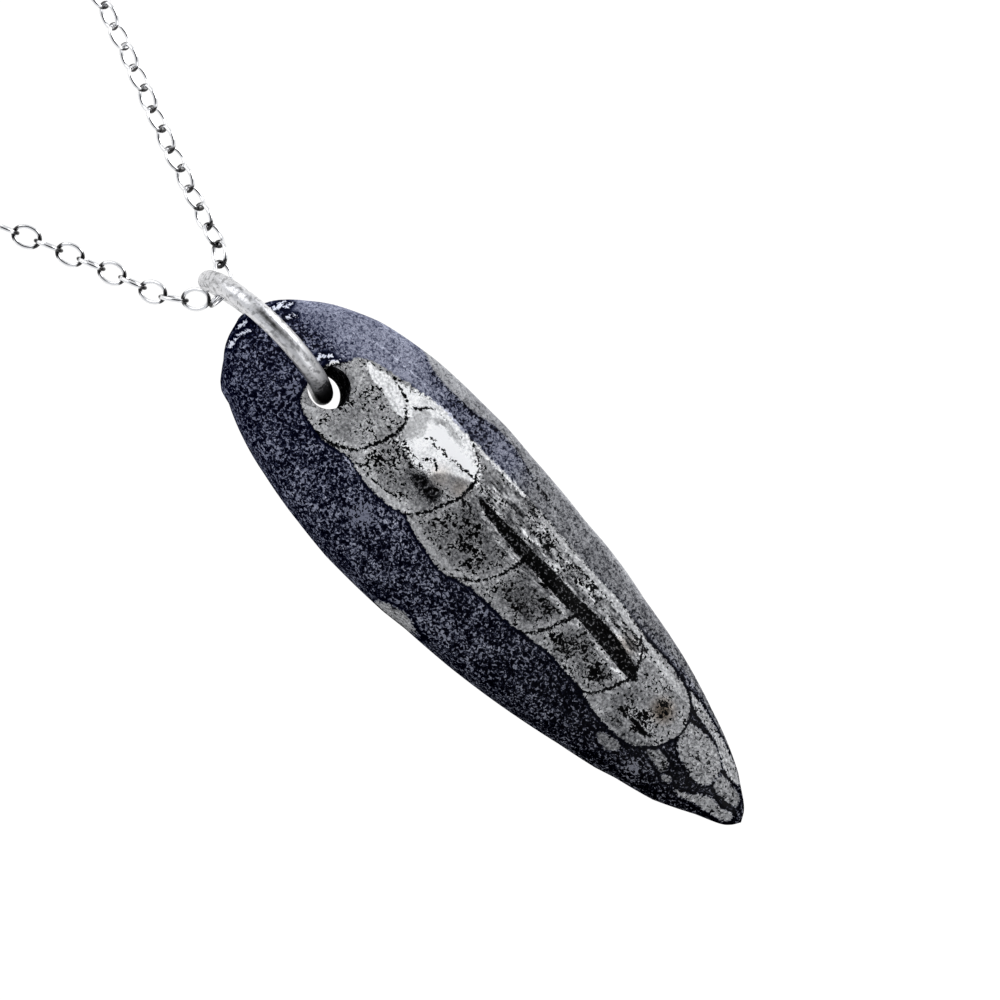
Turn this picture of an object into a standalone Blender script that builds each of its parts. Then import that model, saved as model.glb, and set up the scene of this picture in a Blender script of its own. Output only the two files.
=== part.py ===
"""Orthoceras fossil pendant: a drilled teardrop of polished limestone on a jump ring and a fine chain.

The pendant lies on its back on a surface at z = 0. The stone is modelled in its own axes
(+X along the stone to its tip, +Z out of the polished front), then pitched so that it rests
on its tip and on the jump ring that passes under its wide end. The chain runs from the jump
ring down to the surface. The length that is not in use lies beside it in a flat coil, and a
spring ring clasp joins its two ends.
"""

import math

import bmesh
import bpy
from mathutils import Vector

MM = 0.001
GAP = 0.3  # mm between pieces that touch

# Stone, mm in its own axes
STONE_HALF_OUTLINE = [  # (x, half width) from the wide end to the tip
    (-22.5, 0.0), (-21.8, 2.4), (-19.6, 4.55), (-15.8, 6.3), (-11.0, 7.3), (-5.0, 7.6), (1.0, 7.4),
    (7.0, 6.85), (12.5, 5.95), (18.0, 4.65), (22.3, 3.2), (25.6, 1.65), (27.1, 0.75), (27.6, 0.0),
]
STONE_SPINE = (-15.5, 24.0)  # the stretch of the axis along which the front is highest
STONE_THICK = 5.0  # at its thickest station
STONE_THICK_AT = -4.0
STONE_LOSS_TO_TIP = 2.5
STONE_LOSS_TO_END = 0.9
STONE_WALL = 0.46  # height of the side wall, as a share of the thickness there
STONE_BACK_BEVEL = 0.35
STONE_SHOULDER = 0.9  # width of the rounded edge round the front
STONE_SHOULDER_RISE = 0.6  # share of the height from wall to crown that the shoulder climbs
STONE_TIP_SHIFT = -0.3  # the tip leans to the -Y side
STONE_UNEVEN_UPPER = [  # (x, mm outwards) along the +Y side: it was ground by hand
    (-22.5, -0.35), (-20.0, -0.3), (-18.5, -0.1), (-15.5, 0.1), (-11.0, 0.08), (-7.0, 0.0),
    (-4.0, 0.0), (-1.0, -0.15), (2.5, -0.18), (4.5, -0.26), (7.0, -0.16), (9.0, -0.12),
    (11.5, -0.18), (16.0, -0.02), (20.5, 0.02), (23.5, 0.2), (25.0, 0.26), (27.6, 0.1),
]
STONE_UNEVEN_LOWER = [  # and along the -Y side
    (-22.5, -0.35), (-21.2, -0.35), (-20.3, 0.05), (-19.8, 0.07), (-18.8, -0.28), (-13.5, -0.34),
    (-9.5, -0.2), (-6.5, 0.0), (-1.0, 0.0), (1.0, -0.12), (5.0, -0.08), (8.5, -0.1),
    (14.5, -0.15), (17.5, -0.05), (19.0, -0.1), (22.0, 0.1), (25.0, -0.1), (27.6, 0.0),
]
STONE_SAMPLES = 4  # outline points to a span

HOLE_AT = (-14.7, 0.2)
HOLE_DIAMETER = 3.0

# Jump ring, mm in the stone's axes
RING_WIRE = 1.4
RING_RADIUS = 5.59  # to the middle of the wire
RING_AT = (-20.2, -0.1, 2.6)
RING_LEAN = math.radians(6.0)  # its top leans to -Y
RING_BOW = 0.5  # how far its highest point is bent to +Y
RING_BEND = 1.45  # and its lowest point

# Chain, mm on the surface. A strand's points follow the middle of the chain.
CHAIN_WIDTH = 1.7
LINK_LENGTH = 2.35
LINK_WIRE = 0.33
THREADED_LINK_AT = (-24.95, 0.0, 5.3)
STRAND_RIGHT = [
    (-26.3, 2.2, 4.6), (-28.2, 3.0, 3.7), (-30.1, 3.75, 3.0), (-32.8, 4.9, 2.2), (-35.9, 6.15, 1.5),
    (-38.8, 7.4, 1.1), (-42.2, 8.8, 0.9), (-45.7, 10.1, 0.87), (-49.5, 11.5, 0.87),
    (-52.6, 13.0, 0.87), (-54.3, 13.85, 0.87),
]
STRAND_LEFT = [
    (-26.2, -2.0, 4.8), (-27.7, -2.5, 4.05), (-29.3, -2.95, 3.4), (-32.5, -3.9, 2.4),
    (-35.7, -4.95, 1.6), (-38.7, -6.1, 1.15), (-41.2, -7.1, 0.95), (-44.6, -8.5, 0.87),
    (-48.2, -9.6, 0.87), (-51.6, -10.4, 0.87), (-54.0, -10.75, 1.1),
]
STRAND_TAIL = [(-66.6, -10.8, 1.2), (-67.5, -10.4, 0.9), (-68.6, -9.2, 0.9), (-69.7, -7.8, 1.1)]
TUBE_STEP = 2.2  # spacing of a tube's points, in chain widths

COIL_AT = (-64.3, 4.6)
COIL_MID_RADIUS = 8.7
COIL_PITCH = 1.75  # from one turn to the next
COIL_LAYERS = 2
COIL_TURNS_PER_LAYER = 3.21
COIL_CORNER = 0.6

# Spring ring clasp and the small rings on both sides of it
CLASP_AT = (-58.9, -10.8, 1.6)
CLASP_RADIUS = 2.5
CLASP_WIRE = 1.0
CLASP_OPENING = (math.radians(35.0), math.radians(85.0))  # the stretch that the bolt closes
CLASP_BOLT_WIRE = 0.7
CLASP_KNOB = 0.8
EYELET_RADIUS = 0.95
EYELET_WIRE = 0.5
SMALL_RING_RADIUS = 1.5
SMALL_RING_WIRE = 0.7

PARTS = "orthoceras_fossil_pendant"
CUTTERS = "cutters"


def clear_scene():
    for obj in list(bpy.data.objects):
        bpy.data.objects.remove(obj, do_unlink=True)


def new_collection(name):
    collection = bpy.data.collections.new(name)
    bpy.context.scene.collection.children.link(collection)
    return collection


def material(name, colour, roughness, metallic):
    mat = bpy.data.materials.new(name)
    mat.use_nodes = True
    surface = mat.node_tree.nodes["Principled BSDF"]
    surface.inputs["Base Color"].default_value = (*colour, 1.0)
    surface.inputs["Roughness"].default_value = roughness
    surface.inputs["Metallic"].default_value = metallic
    return mat


def place(obj, collection, mat):
    """Move obj to the collection and give it its one material."""
    for old in list(obj.users_collection):
        old.objects.unlink(obj)
    collection.objects.link(obj)
    obj.data.materials.clear()
    obj.data.materials.append(mat)
    return obj


def curve_point(p, knot, t):
    """The point at t of the Catmull-Rom span from p[1] to p[2]."""

    def mix(a, b, i, j):
        return a.lerp(b, (t - knot[i]) / (knot[j] - knot[i]))

    a = [mix(p[i], p[i + 1], i, i + 1) for i in range(3)]
    b = [mix(a[i], a[i + 1], i, i + 2) for i in range(2)]
    return mix(b[0], b[1], 1, 2)


def smooth_path(points, samples, before, after):
    """A centripetal Catmull-Rom curve through the points, led in from before and out to after."""
    guides = [before, *points, after]
    path = []
    for i in range(len(points) - 1):
        p = guides[i : i + 4]
        knot = [0.0]
        for a, b in zip(p, p[1:]):
            knot.append(knot[-1] + math.sqrt((b - a).length))
        for k in range(samples):
            path.append(curve_point(p, knot, knot[1] + (knot[2] - knot[1]) * k / samples))
    return path + [points[-1]]


def evenly_spaced(path, step):
    """Points along a dense path, about a step apart, from its first to its last."""
    reach = [0.0]
    for a, b in zip(path, path[1:]):
        reach.append(reach[-1] + (b - a).length)
    count = max(2, round(reach[-1] / step))
    spaced, i = [], 0
    for k in range(count):
        target = reach[-1] * k / count
        while reach[i + 1] < target:
            i += 1
        spaced.append(path[i].lerp(path[i + 1], (target - reach[i]) / (reach[i + 1] - reach[i])))
    return spaced + [path[-1]]


def turned(name, profile, at, mat, collection):
    """A ring turned about the vertical axis through at, from a closed (radius, height) profile in mm."""
    mesh = bpy.data.meshes.new(name)
    corners = [(r * MM, 0.0, z * MM) for r, z in profile]
    mesh.from_pydata(corners, [(i, (i + 1) % len(corners)) for i in range(len(corners))], [])
    obj = place(bpy.data.objects.new(name, mesh), collection, mat)
    obj.location = Vector((*at, 0.0)) * MM
    screw = obj.modifiers.new("turn", "SCREW")
    screw.steps = screw.render_steps = 64
    screw.use_merge_vertices = True
    screw.merge_threshold = 0.00001
    screw.use_normal_calculate = True
    return obj


def wire(name, points, diameter, mat, collection, cyclic=False, resolution=2):
    """A round wire or cord through points in mm."""
    data = bpy.data.curves.new(name, "CURVE")
    data.dimensions = "3D"
    data.bevel_depth = diameter / 2 * MM
    data.bevel_resolution = resolution
    data.use_fill_caps = not cyclic
    spline = data.splines.new("POLY")
    spline.points.add(len(points) - 1)
    for slot, p in zip(spline.points, points):
        slot.co = (*(p * MM), 1.0)
    spline.use_cyclic_u = cyclic
    return place(bpy.data.objects.new(name, data), collection, mat)


def ring(name, at, radius, diameter, mat, collection, segments=(64, 14)):
    """A round ring of round wire, flat about its own Z axis, at a point in mm."""
    bpy.ops.mesh.primitive_torus_add(
        major_segments=segments[0],
        minor_segments=segments[1],
        major_radius=radius * MM,
        minor_radius=diameter / 2 * MM,
        location=Vector(at) * MM,
    )
    obj = bpy.context.object
    obj.name = obj.data.name = name
    obj.data.shade_smooth()
    return place(obj, collection, mat)


def as_mesh(obj):
    """Replace a curve object by a mesh one with its caps welded on."""
    graph = bpy.context.evaluated_depsgraph_get()
    mesh = bpy.data.meshes.new_from_object(obj.evaluated_get(graph))
    body = bmesh.new()
    body.from_mesh(mesh)
    bmesh.ops.remove_doubles(body, verts=body.verts, dist=0.000001)
    body.to_mesh(mesh)
    body.free()
    name, collection, mat = obj.name, obj.users_collection[0], obj.data.materials[0]
    placed = obj.matrix_world.copy()
    bpy.data.objects.remove(obj, do_unlink=True)
    made = place(bpy.data.objects.new(name, mesh), collection, mat)
    made.matrix_world = placed
    return made


def boolean(obj, other, operation):
    step = obj.modifiers.new(other.name, "BOOLEAN")
    step.operation = operation
    step.object = other
    step.solver = "EXACT"


# Stone


def stone_outline():
    """Closed loop of (x, y) points: out along the +Y side to the tip, and back along the -Y side."""
    stations = [Vector((x, w, 0.0)) for x, w in STONE_HALF_OUTLINE]
    mirrored = [Vector((p.x, -p.y, 0.0)) for p in (stations[1], stations[-2])]
    half = smooth_path(stations, STONE_SAMPLES, mirrored[0], mirrored[1])
    upper, lower = (
        [(p.x, p.y + uneven(p.x, table) * min(1.0, p.y / 2.0)) for p in half]
        for table in (STONE_UNEVEN_UPPER, STONE_UNEVEN_LOWER)
    )
    return upper + [(x, -y) for x, y in lower[-2:0:-1]]


def uneven(x, table):
    """Value at x of a table of (x, value)."""
    for (low, before), (high, after) in zip(table, table[1:]):
        if x <= high:
            return before + (after - before) * (x - low) / (high - low)
    return table[-1][1]


def stone_height(x):
    """Thickness on the spine at a station."""
    tip = STONE_HALF_OUTLINE[-1][0]
    end = STONE_HALF_OUTLINE[0][0]
    to_tip = max(0.0, (x - STONE_THICK_AT) / (tip - STONE_THICK_AT))
    to_end = max(0.0, (x - STONE_THICK_AT) / (end - STONE_THICK_AT))
    return STONE_THICK - STONE_LOSS_TO_TIP * to_tip**2 - STONE_LOSS_TO_END * to_end**2


def tip_shift(x):
    start = STONE_SPINE[1] - 6.0
    t = min(1.0, max(0.0, (x - start) / (STONE_HALF_OUTLINE[-1][0] - start)))
    return STONE_TIP_SHIFT * t * t


def stone_loop(outline, inset, share, rise):
    """The outline moved in to the spine: by inset mm, then by a share of what is left.

    rise gives the height from the thickness on the spine at the point's station.
    """
    loop = []
    for x, y in outline:
        spine_x = min(max(x, STONE_SPINE[0]), STONE_SPINE[1])
        reach = math.hypot(x - spine_x, y)
        moved = inset + share * (reach - inset)
        t = moved / reach
        px, py = x + (spine_x - x) * t, y * (1.0 - t)
        loop.append(Vector((px, py + tip_shift(px), rise(stone_height(px)))) * MM)
    return loop


def stone_loops():
    """Loops from the middle of the flat back, round the side wall, to the crown of the front."""
    outline = stone_outline()
    shoulder_top = STONE_WALL + (1.0 - STONE_WALL) * STONE_SHOULDER_RISE

    def crown(share):
        bulge = 1.0 - (1.0 - share) ** 2
        return lambda h: h * (shoulder_top + (1.0 - shoulder_top) * bulge)

    loops = [
        stone_loop(outline, 0.0, 1.0, lambda h: 0.0),
        stone_loop(outline, STONE_BACK_BEVEL, 0.5, lambda h: 0.0),
        stone_loop(outline, STONE_BACK_BEVEL, 0.0, lambda h: 0.0),
        stone_loop(outline, 0.0, 0.0, lambda h: STONE_BACK_BEVEL),
        stone_loop(outline, 0.0, 0.0, lambda h: h * STONE_WALL),
    ]
    for turn in (math.radians(30.0), math.radians(60.0)):
        inset = STONE_SHOULDER * (1.0 - math.cos(turn))
        share = STONE_WALL + (shoulder_top - STONE_WALL) * math.sin(turn)
        loops.append(stone_loop(outline, inset, 0.0, lambda h, share=share: h * share))
    for share in (0.0, 0.25, 0.5, 0.75, 1.0):
        loops.append(stone_loop(outline, STONE_SHOULDER, share, crown(share)))
    return loops


def loft(name, loops, mat, collection):
    """Skin closed loops of equal count. The first and last are folded flat, and weld shut."""
    count = len(loops[0])
    corners = [p for loop in loops for p in loop]
    faces = []
    for row in range(len(loops) - 1):
        for i in range(count):
            j = (i + 1) % count
            low, high = row * count, (row + 1) * count
            faces.append((low + i, high + i, high + j, low + j))
    mesh = bpy.data.meshes.new(name)
    mesh.from_pydata(corners, [], faces)
    body = bmesh.new()
    body.from_mesh(mesh)
    bmesh.ops.remove_doubles(body, verts=body.verts, dist=0.000001)
    bmesh.ops.recalc_face_normals(body, faces=body.faces)
    body.to_mesh(mesh)
    body.free()
    return place(bpy.data.objects.new(name, mesh), collection, mat)


def make_stone(parts, cutters, pose, mats):
    stone = loft("stone", stone_loops(), mats["limestone"], parts)
    bpy.ops.mesh.primitive_cylinder_add(
        vertices=40,
        radius=HOLE_DIAMETER / 2 * MM,
        depth=STONE_THICK * 3 * MM,
        location=Vector((*HOLE_AT, 0.0)) * MM,
    )
    drill = place(bpy.context.object, cutters, mats["limestone"])
    drill.name = "drill"
    drill.hide_render = True
    drill.display_type = "WIRE"
    boolean(stone, drill, "DIFFERENCE")
    stone.data.shade_smooth()
    stone.data.set_sharp_from_angle(angle=math.radians(30.0))
    stone.parent = drill.parent = pose
    return stone


def make_jump_ring(parts, pose, mats):
    """The ring, with both its halves bent a little to one side."""
    jump_ring = ring("jump_ring", RING_AT, RING_RADIUS, RING_WIRE, mats["steel"], parts)
    aside = Vector((0.0, math.sin(RING_LEAN), math.cos(RING_LEAN)))  # the stone's +Y, in the ring's axes
    for vert in jump_ring.data.vertices:
        height = -vert.co.y / (RING_RADIUS * MM)
        vert.co += aside * (RING_BOW if height > 0.0 else RING_BEND) * MM * abs(height) ** 1.5
    jump_ring.rotation_euler = (-(math.pi / 2 - RING_LEAN), 0.0, 0.0)
    jump_ring.parent = pose
    return jump_ring


def resting_pitch():
    """The angle that brings the bottom of the jump ring and the tip of the back to one height."""
    below_ring = RING_RADIUS * math.cos(RING_LEAN) + RING_WIRE / 2
    tip_x = STONE_HALF_OUTLINE[-1][0] - STONE_BACK_BEVEL
    return math.asin((below_ring - RING_AT[2]) / (tip_x - RING_AT[0]))


def settle(pose, pieces):
    """Pitch the pendant, then set the middle of its footprint over the origin and its lowest point at 0."""
    pose.rotation_euler = (0.0, resting_pitch(), 0.0)
    bpy.context.view_layer.update()
    graph = bpy.context.evaluated_depsgraph_get()
    corners = []
    for piece in pieces:
        shown = piece.evaluated_get(graph)
        corners += [shown.matrix_world @ v.co for v in shown.to_mesh().vertices]
        shown.to_mesh_clear()
    lowest = [min(c[axis] for c in corners) for axis in range(3)]
    highest = [max(c[axis] for c in corners) for axis in range(3)]
    pose.location = (
        -(lowest[0] + highest[0]) / 2,
        -(lowest[1] + highest[1]) / 2,
        -lowest[2],
    )


# Chain


def make_strand(name, route, parts, mats):
    points = [Vector(p) for p in route]
    before = points[0] * 2 - points[1]
    after = points[-1] * 2 - points[-2]
    path = evenly_spaced(smooth_path(points, 8, before, after), TUBE_STEP * CHAIN_WIDTH)
    return wire(name, path, CHAIN_WIDTH, mats["silver"], parts)


def make_coil(parts, mats):
    """One ring of the outer shape of the coiled turns."""
    half = COIL_TURNS_PER_LAYER * COIL_PITCH / 2 + CHAIN_WIDTH / 2
    inner, outer = COIL_MID_RADIUS - half, COIL_MID_RADIUS + half
    top = CHAIN_WIDTH + (COIL_LAYERS - 1) * COIL_PITCH
    c = COIL_CORNER
    profile = [
        (outer, c), (outer, top - c), (outer - c, top), (inner + c, top),
        (inner, top - c), (inner, c), (inner + c, 0.0), (outer - c, 0.0),
    ]
    return turned("chain_coil", profile, COIL_AT, mats["silver"], parts)


def make_threaded_link(parts, mats):
    """One oval link, upright, with its length across the jump ring."""
    half_run = (LINK_LENGTH - CHAIN_WIDTH) / 2
    bend = (CHAIN_WIDTH - LINK_WIRE) / 2
    centre = Vector(THREADED_LINK_AT)
    points = []
    for k in range(24):
        turn = math.tau * (k + 0.5) / 24
        side = math.copysign(half_run, math.cos(turn))
        points.append(centre + Vector((0.0, side + bend * math.cos(turn), bend * math.sin(turn))))
    return wire("threaded_link", points, LINK_WIRE, mats["silver"], parts, cyclic=True)


# Clasp


def small_ring(name, at, parts, mats):
    """A ring that stands upright in line with the chain."""
    made = ring(name, at, SMALL_RING_RADIUS, SMALL_RING_WIRE, mats["silver"], parts, (32, 10))
    made.rotation_euler = (math.pi / 2, 0.0, 0.0)
    return made


def arc(radius, start, end, count):
    centre = Vector(CLASP_AT)
    turns = [start + (end - start) * k / (count - 1) for k in range(count)]
    return [centre + Vector((radius * math.cos(t), radius * math.sin(t), 0.0)) for t in turns]


def make_clasp(parts, cutters, mats):
    start, end = CLASP_OPENING
    body = as_mesh(wire(
        "clasp_body", arc(CLASP_RADIUS, end, start + math.tau, 40), CLASP_WIRE, mats["silver"], parts
    ))
    eyelet_x = CLASP_AT[0] - CLASP_RADIUS - CLASP_WIRE / 2 - EYELET_RADIUS
    eyelet = ring(
        "eyelet", (eyelet_x, *CLASP_AT[1:]), EYELET_RADIUS, EYELET_WIRE, mats["silver"], cutters, (24, 8)
    )
    eyelet.hide_render = True
    eyelet.display_type = "WIRE"
    boolean(body, eyelet, "UNION")
    slack = GAP / CLASP_RADIUS
    bolt = as_mesh(wire(
        "clasp_bolt", arc(CLASP_RADIUS, start + slack, end - slack, 10), CLASP_BOLT_WIRE,
        mats["silver"], parts,
    ))
    turn = (start + end) / 2
    out = CLASP_RADIUS + CLASP_BOLT_WIRE / 2
    bpy.ops.mesh.primitive_uv_sphere_add(
        segments=16,
        ring_count=8,
        radius=CLASP_KNOB / 2 * MM,
        location=(Vector(CLASP_AT) + Vector((out * math.cos(turn), out * math.sin(turn), 0.0))) * MM,
    )
    knob = place(bpy.context.object, cutters, mats["silver"])
    knob.name = "knob"
    knob.hide_render = True
    knob.display_type = "WIRE"
    boolean(bolt, knob, "UNION")
    rise = SMALL_RING_RADIUS + SMALL_RING_WIRE / 2
    small_ring("end_ring", (CLASP_AT[0] + CLASP_RADIUS + GAP, CLASP_AT[1], rise), parts, mats)
    small_ring("clasp_ring", (eyelet_x - SMALL_RING_RADIUS, CLASP_AT[1], rise), parts, mats)


def main():
    clear_scene()
    parts = new_collection(PARTS)
    cutters = new_collection(CUTTERS)
    mats = {
        "limestone": material("polished black limestone", (0.02, 0.021, 0.03), 0.25, 0.0),
        "steel": material("brushed steel", (0.45, 0.45, 0.46), 0.4, 1.0),
        "silver": material("bright silver", (0.8, 0.8, 0.8), 0.15, 1.0),
    }
    pose = bpy.data.objects.new("resting_pose", None)
    parts.objects.link(pose)
    stone = make_stone(parts, cutters, pose, mats)
    jump_ring = make_jump_ring(parts, pose, mats)
    settle(pose, [stone, jump_ring])
    make_threaded_link(parts, mats)
    make_strand("chain_right", STRAND_RIGHT, parts, mats)
    make_strand("chain_left", STRAND_LEFT, parts, mats)
    make_strand("chain_tail", STRAND_TAIL, parts, mats)
    make_coil(parts, mats)
    make_clasp(parts, cutters, mats)


main()
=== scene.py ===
"""Orthoceras fossil pendant: a polished limestone drop on a jump ring and a fine cable chain.

Each operator below dresses one piece of the pendant. The script lays them out as an add-on,
with their sizes and colours as properties, and main() runs them in order. Lengths in the
tables are millimetres. The stone's own axes run along it to the tip (+X) and out of its
polished front (+Z); POSE carries them to the way the pendant rests.
"""

import math
from functools import partial

import bmesh
import bpy
import numpy as np
from bpy.props import FloatProperty, FloatVectorProperty, IntProperty, PointerProperty
from mathutils import Matrix, Vector


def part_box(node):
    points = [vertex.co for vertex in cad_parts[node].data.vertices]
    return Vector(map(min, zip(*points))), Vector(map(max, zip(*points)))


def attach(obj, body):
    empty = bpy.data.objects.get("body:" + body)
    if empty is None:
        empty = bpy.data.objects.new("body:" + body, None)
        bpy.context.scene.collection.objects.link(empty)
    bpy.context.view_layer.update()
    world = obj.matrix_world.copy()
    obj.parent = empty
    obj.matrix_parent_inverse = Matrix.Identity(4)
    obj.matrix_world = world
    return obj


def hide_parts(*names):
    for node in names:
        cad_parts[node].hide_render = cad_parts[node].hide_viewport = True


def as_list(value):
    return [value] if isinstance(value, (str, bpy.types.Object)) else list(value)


bl_info = {
    "name": "Orthoceras Fossil Pendant",
    "version": (1, 0, 0),
    "blender": (4, 5, 0),
    "location": "View3D > Sidebar > Fossil Pendant",
    "description": "A drilled orthoceras fossil on a jump ring and a fine chain",
    "category": "Object",
}

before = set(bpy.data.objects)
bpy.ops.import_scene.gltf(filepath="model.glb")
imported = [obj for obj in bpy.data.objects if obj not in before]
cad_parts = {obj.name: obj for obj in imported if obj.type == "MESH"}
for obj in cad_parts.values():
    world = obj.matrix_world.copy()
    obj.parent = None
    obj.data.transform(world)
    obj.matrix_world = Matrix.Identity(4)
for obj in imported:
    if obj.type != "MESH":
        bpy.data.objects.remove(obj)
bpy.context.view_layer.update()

MM = 0.001

# Stone, in its own axes
WELD_GAP = 0.001  # corners this close are one
HALF_OUTLINE = [  # (x, half width) from the wide end to the tip
    (-22.5, 0.0), (-21.8, 2.4), (-19.6, 4.55), (-15.8, 6.3), (-11.0, 7.3), (-5.0, 7.6), (1.0, 7.4),
    (7.0, 6.85), (12.5, 5.95), (18.0, 4.65), (22.3, 3.2), (25.6, 1.65), (27.1, 0.75), (27.6, 0.0),
]
SPINE = (-15.5, 24.0)  # the stretch of the axis along which the front is highest
THICK, THICK_AT, LOSS_TO_TIP, LOSS_TO_END = 5.0, -4.0, 2.5, 0.9
WALL = 0.46  # height of the side wall, as a share of the thickness there
BACK_BEVEL = 0.35
SHOULDER = 0.9  # width of the rounded edge round the front
SHOULDER_RISE = 0.6  # share of the height from wall to crown that the shoulder climbs
TIP_SHIFT, TIP_SHIFT_RUN = -0.3, 6.0  # the tip leans to -Y, from this far before the spine's end
UNEVEN_UPPER = [  # (x, mm outwards) along the +Y side: it was ground by hand
    (-22.5, -0.35), (-20.0, -0.3), (-18.5, -0.1), (-15.5, 0.1), (-11.0, 0.08), (-7.0, 0.0),
    (-4.0, 0.0), (-1.0, -0.15), (2.5, -0.18), (4.5, -0.26), (7.0, -0.16), (9.0, -0.12),
    (11.5, -0.18), (16.0, -0.02), (20.5, 0.02), (23.5, 0.2), (25.0, 0.26), (27.6, 0.1),
]
UNEVEN_LOWER = [  # and along the -Y side
    (-22.5, -0.35), (-21.2, -0.35), (-20.3, 0.05), (-19.8, 0.07), (-18.8, -0.28), (-13.5, -0.34),
    (-9.5, -0.2), (-6.5, 0.0), (-1.0, 0.0), (1.0, -0.12), (5.0, -0.08), (8.5, -0.1),
    (14.5, -0.15), (17.5, -0.05), (19.0, -0.1), (22.0, 0.1), (25.0, -0.1), (27.6, 0.0),
]
HOLE_AT, HOLE_RADIUS = (-14.7, 0.2), 1.5
RIM_WEAR, RIM_WIDTH = 0.08, 0.2  # how deep and how wide the hole's rim is worn
FLAKE_DEPTH, FLAKE_WIDTH = 0.2, 0.25  # where the edges have flaked, and how far round the scar
FLAKE_FLOOR = 1.2  # flakes leave what lies lower alone
POLISH_DEPTH = 0.02  # unevenness of the hand polish
POLISH_WAVES = ((0.9, 1.3, 0.0), (1.7, -0.8, 1.0), (0.5, 2.3, 2.0))  # radians a mm, phase

# Jump ring, in the stone's axes
RING_AT, RING_RADIUS, RING_WIRE = (-20.2, -0.1, 2.6), 5.59, 1.4
RING_LEAN = math.radians(6.0)
RING_BOW = 0.5  # how far its highest point is bent to +Y
RING_BEND = 1.45  # and its lowest point
RING_STEPS, RING_SIDES = 224, 32
RING_SEAM = 148  # the step where the ends of the wire meet
HOLE_SHADE_SPAN = (-20.7, -14.2)  # painted shade from the hole darkens the ring from the first of these stations to the second

# Chain, on the surface the pendant rests on
CHAIN_WIDTH = 1.7
ROUTE_STEP = 0.4
LINK_STEPS, WIRE_SIDES = 26, 9  # of a link's mesh
RIGHT_ROLL, LEFT_ROLL, CROSSING_ROLL = (math.radians(a) for a in (38.0, -17.0, 80.0))
CROSSING_AT = (-24.98, 0.05, 5.25)
FIRST_RIGHT, FIRST_LEFT = (-26.0, 1.4, 4.85), (-26.05, -1.3, 5.0)
STRAND_RIGHT = [
    (-28.2, 3.0, 3.7), (-30.1, 3.75, 3.0), (-32.8, 4.9, 2.2), (-35.9, 6.15, 1.5),
    (-38.8, 7.4, 1.1), (-42.2, 8.8, 0.9), (-45.7, 10.1, 0.87), (-49.5, 11.5, 0.87),
    (-52.6, 13.0, 0.87), (-54.3, 13.85, 0.87),
]
STRAND_LEFT = [
    (-27.7, -2.5, 4.05), (-29.3, -2.95, 3.4), (-32.5, -3.9, 2.4), (-35.7, -4.95, 1.6),
    (-38.7, -6.1, 1.15), (-41.2, -7.1, 0.95), (-44.6, -8.5, 0.87), (-48.2, -9.6, 0.87),
    (-51.6, -10.4, 0.87), (-53.75, -10.8, 1.3),
]
STRAND_TAIL = [(-69.7, -7.8, 1.1), (-68.6, -9.2, 0.9), (-67.6, -10.3, 1.1), (-66.7, -10.8, 1.7)]
COIL_AT, COIL_MID_RADIUS, COIL_PITCH = (-64.3, 4.6), 8.7, 1.75
COIL_TURNS = 3.21  # in each of its two layers
COIL_START = math.radians(70.0)
COIL_STEPS = 28  # to a turn
COIL_CLIMB = (0.94, 1.06)  # where it goes up a layer, in shares of the lower one
COIL_CLEARANCE = 0.02  # over the surface
LEAD_AT, TAIL_AT = (-57.1, 14.95, 0.87), (-71.4, -5.3, 1.7)  # on the ways in and out

# Clasp
CLASP_AT, CLASP_RADIUS, CLASP_WIRE = (-58.9, -10.8, 1.6), 2.5, 1.0
CLASP_OPENING = (math.radians(35.0), math.radians(85.0))  # the stretch that the bolt closes
CLASP_TAPER, BOLT_WIRE = 0.08, 0.7
KNOB = ((0.1, 0.22), (0.4, 0.22), (0.55, 0.4), (0.68, 0.36), (0.75, 0.14))  # (mm out, radius)
EYELET_RADIUS, EYELET_WIRE = 0.95, 0.5
SMALL_RING_RADIUS, SMALL_RING_WIRE, SMALL_RING_SEAM = 1.5, 0.7, 0.05
GAP = 0.3  # between pieces that only touch in use

# Camera and stage
CAMERA_AIM, CAMERA_DISTANCE = (-1.14965, 3.70583, 4.0), 262.8
FLOOR, SOFTBOX = 0.6, 0.4  # metres: half the floor's side, and a softbox's side
CAMERA_TILT, CAMERA_ROLL = math.radians(12.0), math.radians(44.085)

# Markings on the stone's front, (x, y) in its own axes. A third number is a half width.
SHELL = [
    (-14.9, -2.2), (-15.6, -1.7), (-16.0, -0.2), (-15.9, 1.5), (-15.1, 2.4), (-14.8, 3.1),
    (-14.0, 3.7), (-13.0, 4.0), (-11.9, 4.2), (-10.9, 4.5), (-10.0, 4.6), (-9.0, 4.8), (-8.0, 4.9),
    (-6.7, 4.8), (-4.0, 4.8), (-1.4, 4.8), (0.8, 4.7), (3.3, 4.6), (5.1, 4.5), (7.8, 4.3),
    (10.8, 4.2), (13.2, 3.8), (15.9, 3.7), (17.1, 3.5), (18.2, 3.2), (18.8, 2.8), (19.4, 2.0),
    (19.7, 1.0), (19.6, 0.0), (19.2, -0.9), (18.5, -1.8), (17.7, -2.4), (16.7, -2.6), (15.2, -2.7),
    (13.8, -2.6), (12.6, -2.3), (11.4, -2.2), (10.0, -2.1), (8.7, -2.1), (7.5, -2.3), (5.5, -2.6),
    (3.0, -2.7), (1.6, -2.8), (0.2, -3.3), (-0.8, -3.4), (-1.9, -3.2), (-2.9, -3.0), (-4.0, -2.7),
    (-4.9, -2.4), (-6.0, -2.7), (-7.0, -2.8), (-8.2, -2.8), (-9.3, -2.6), (-10.3, -2.3),
    (-11.3, -2.5), (-12.3, -2.7), (-13.4, -2.6), (-14.2, -2.4),
]
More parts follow.
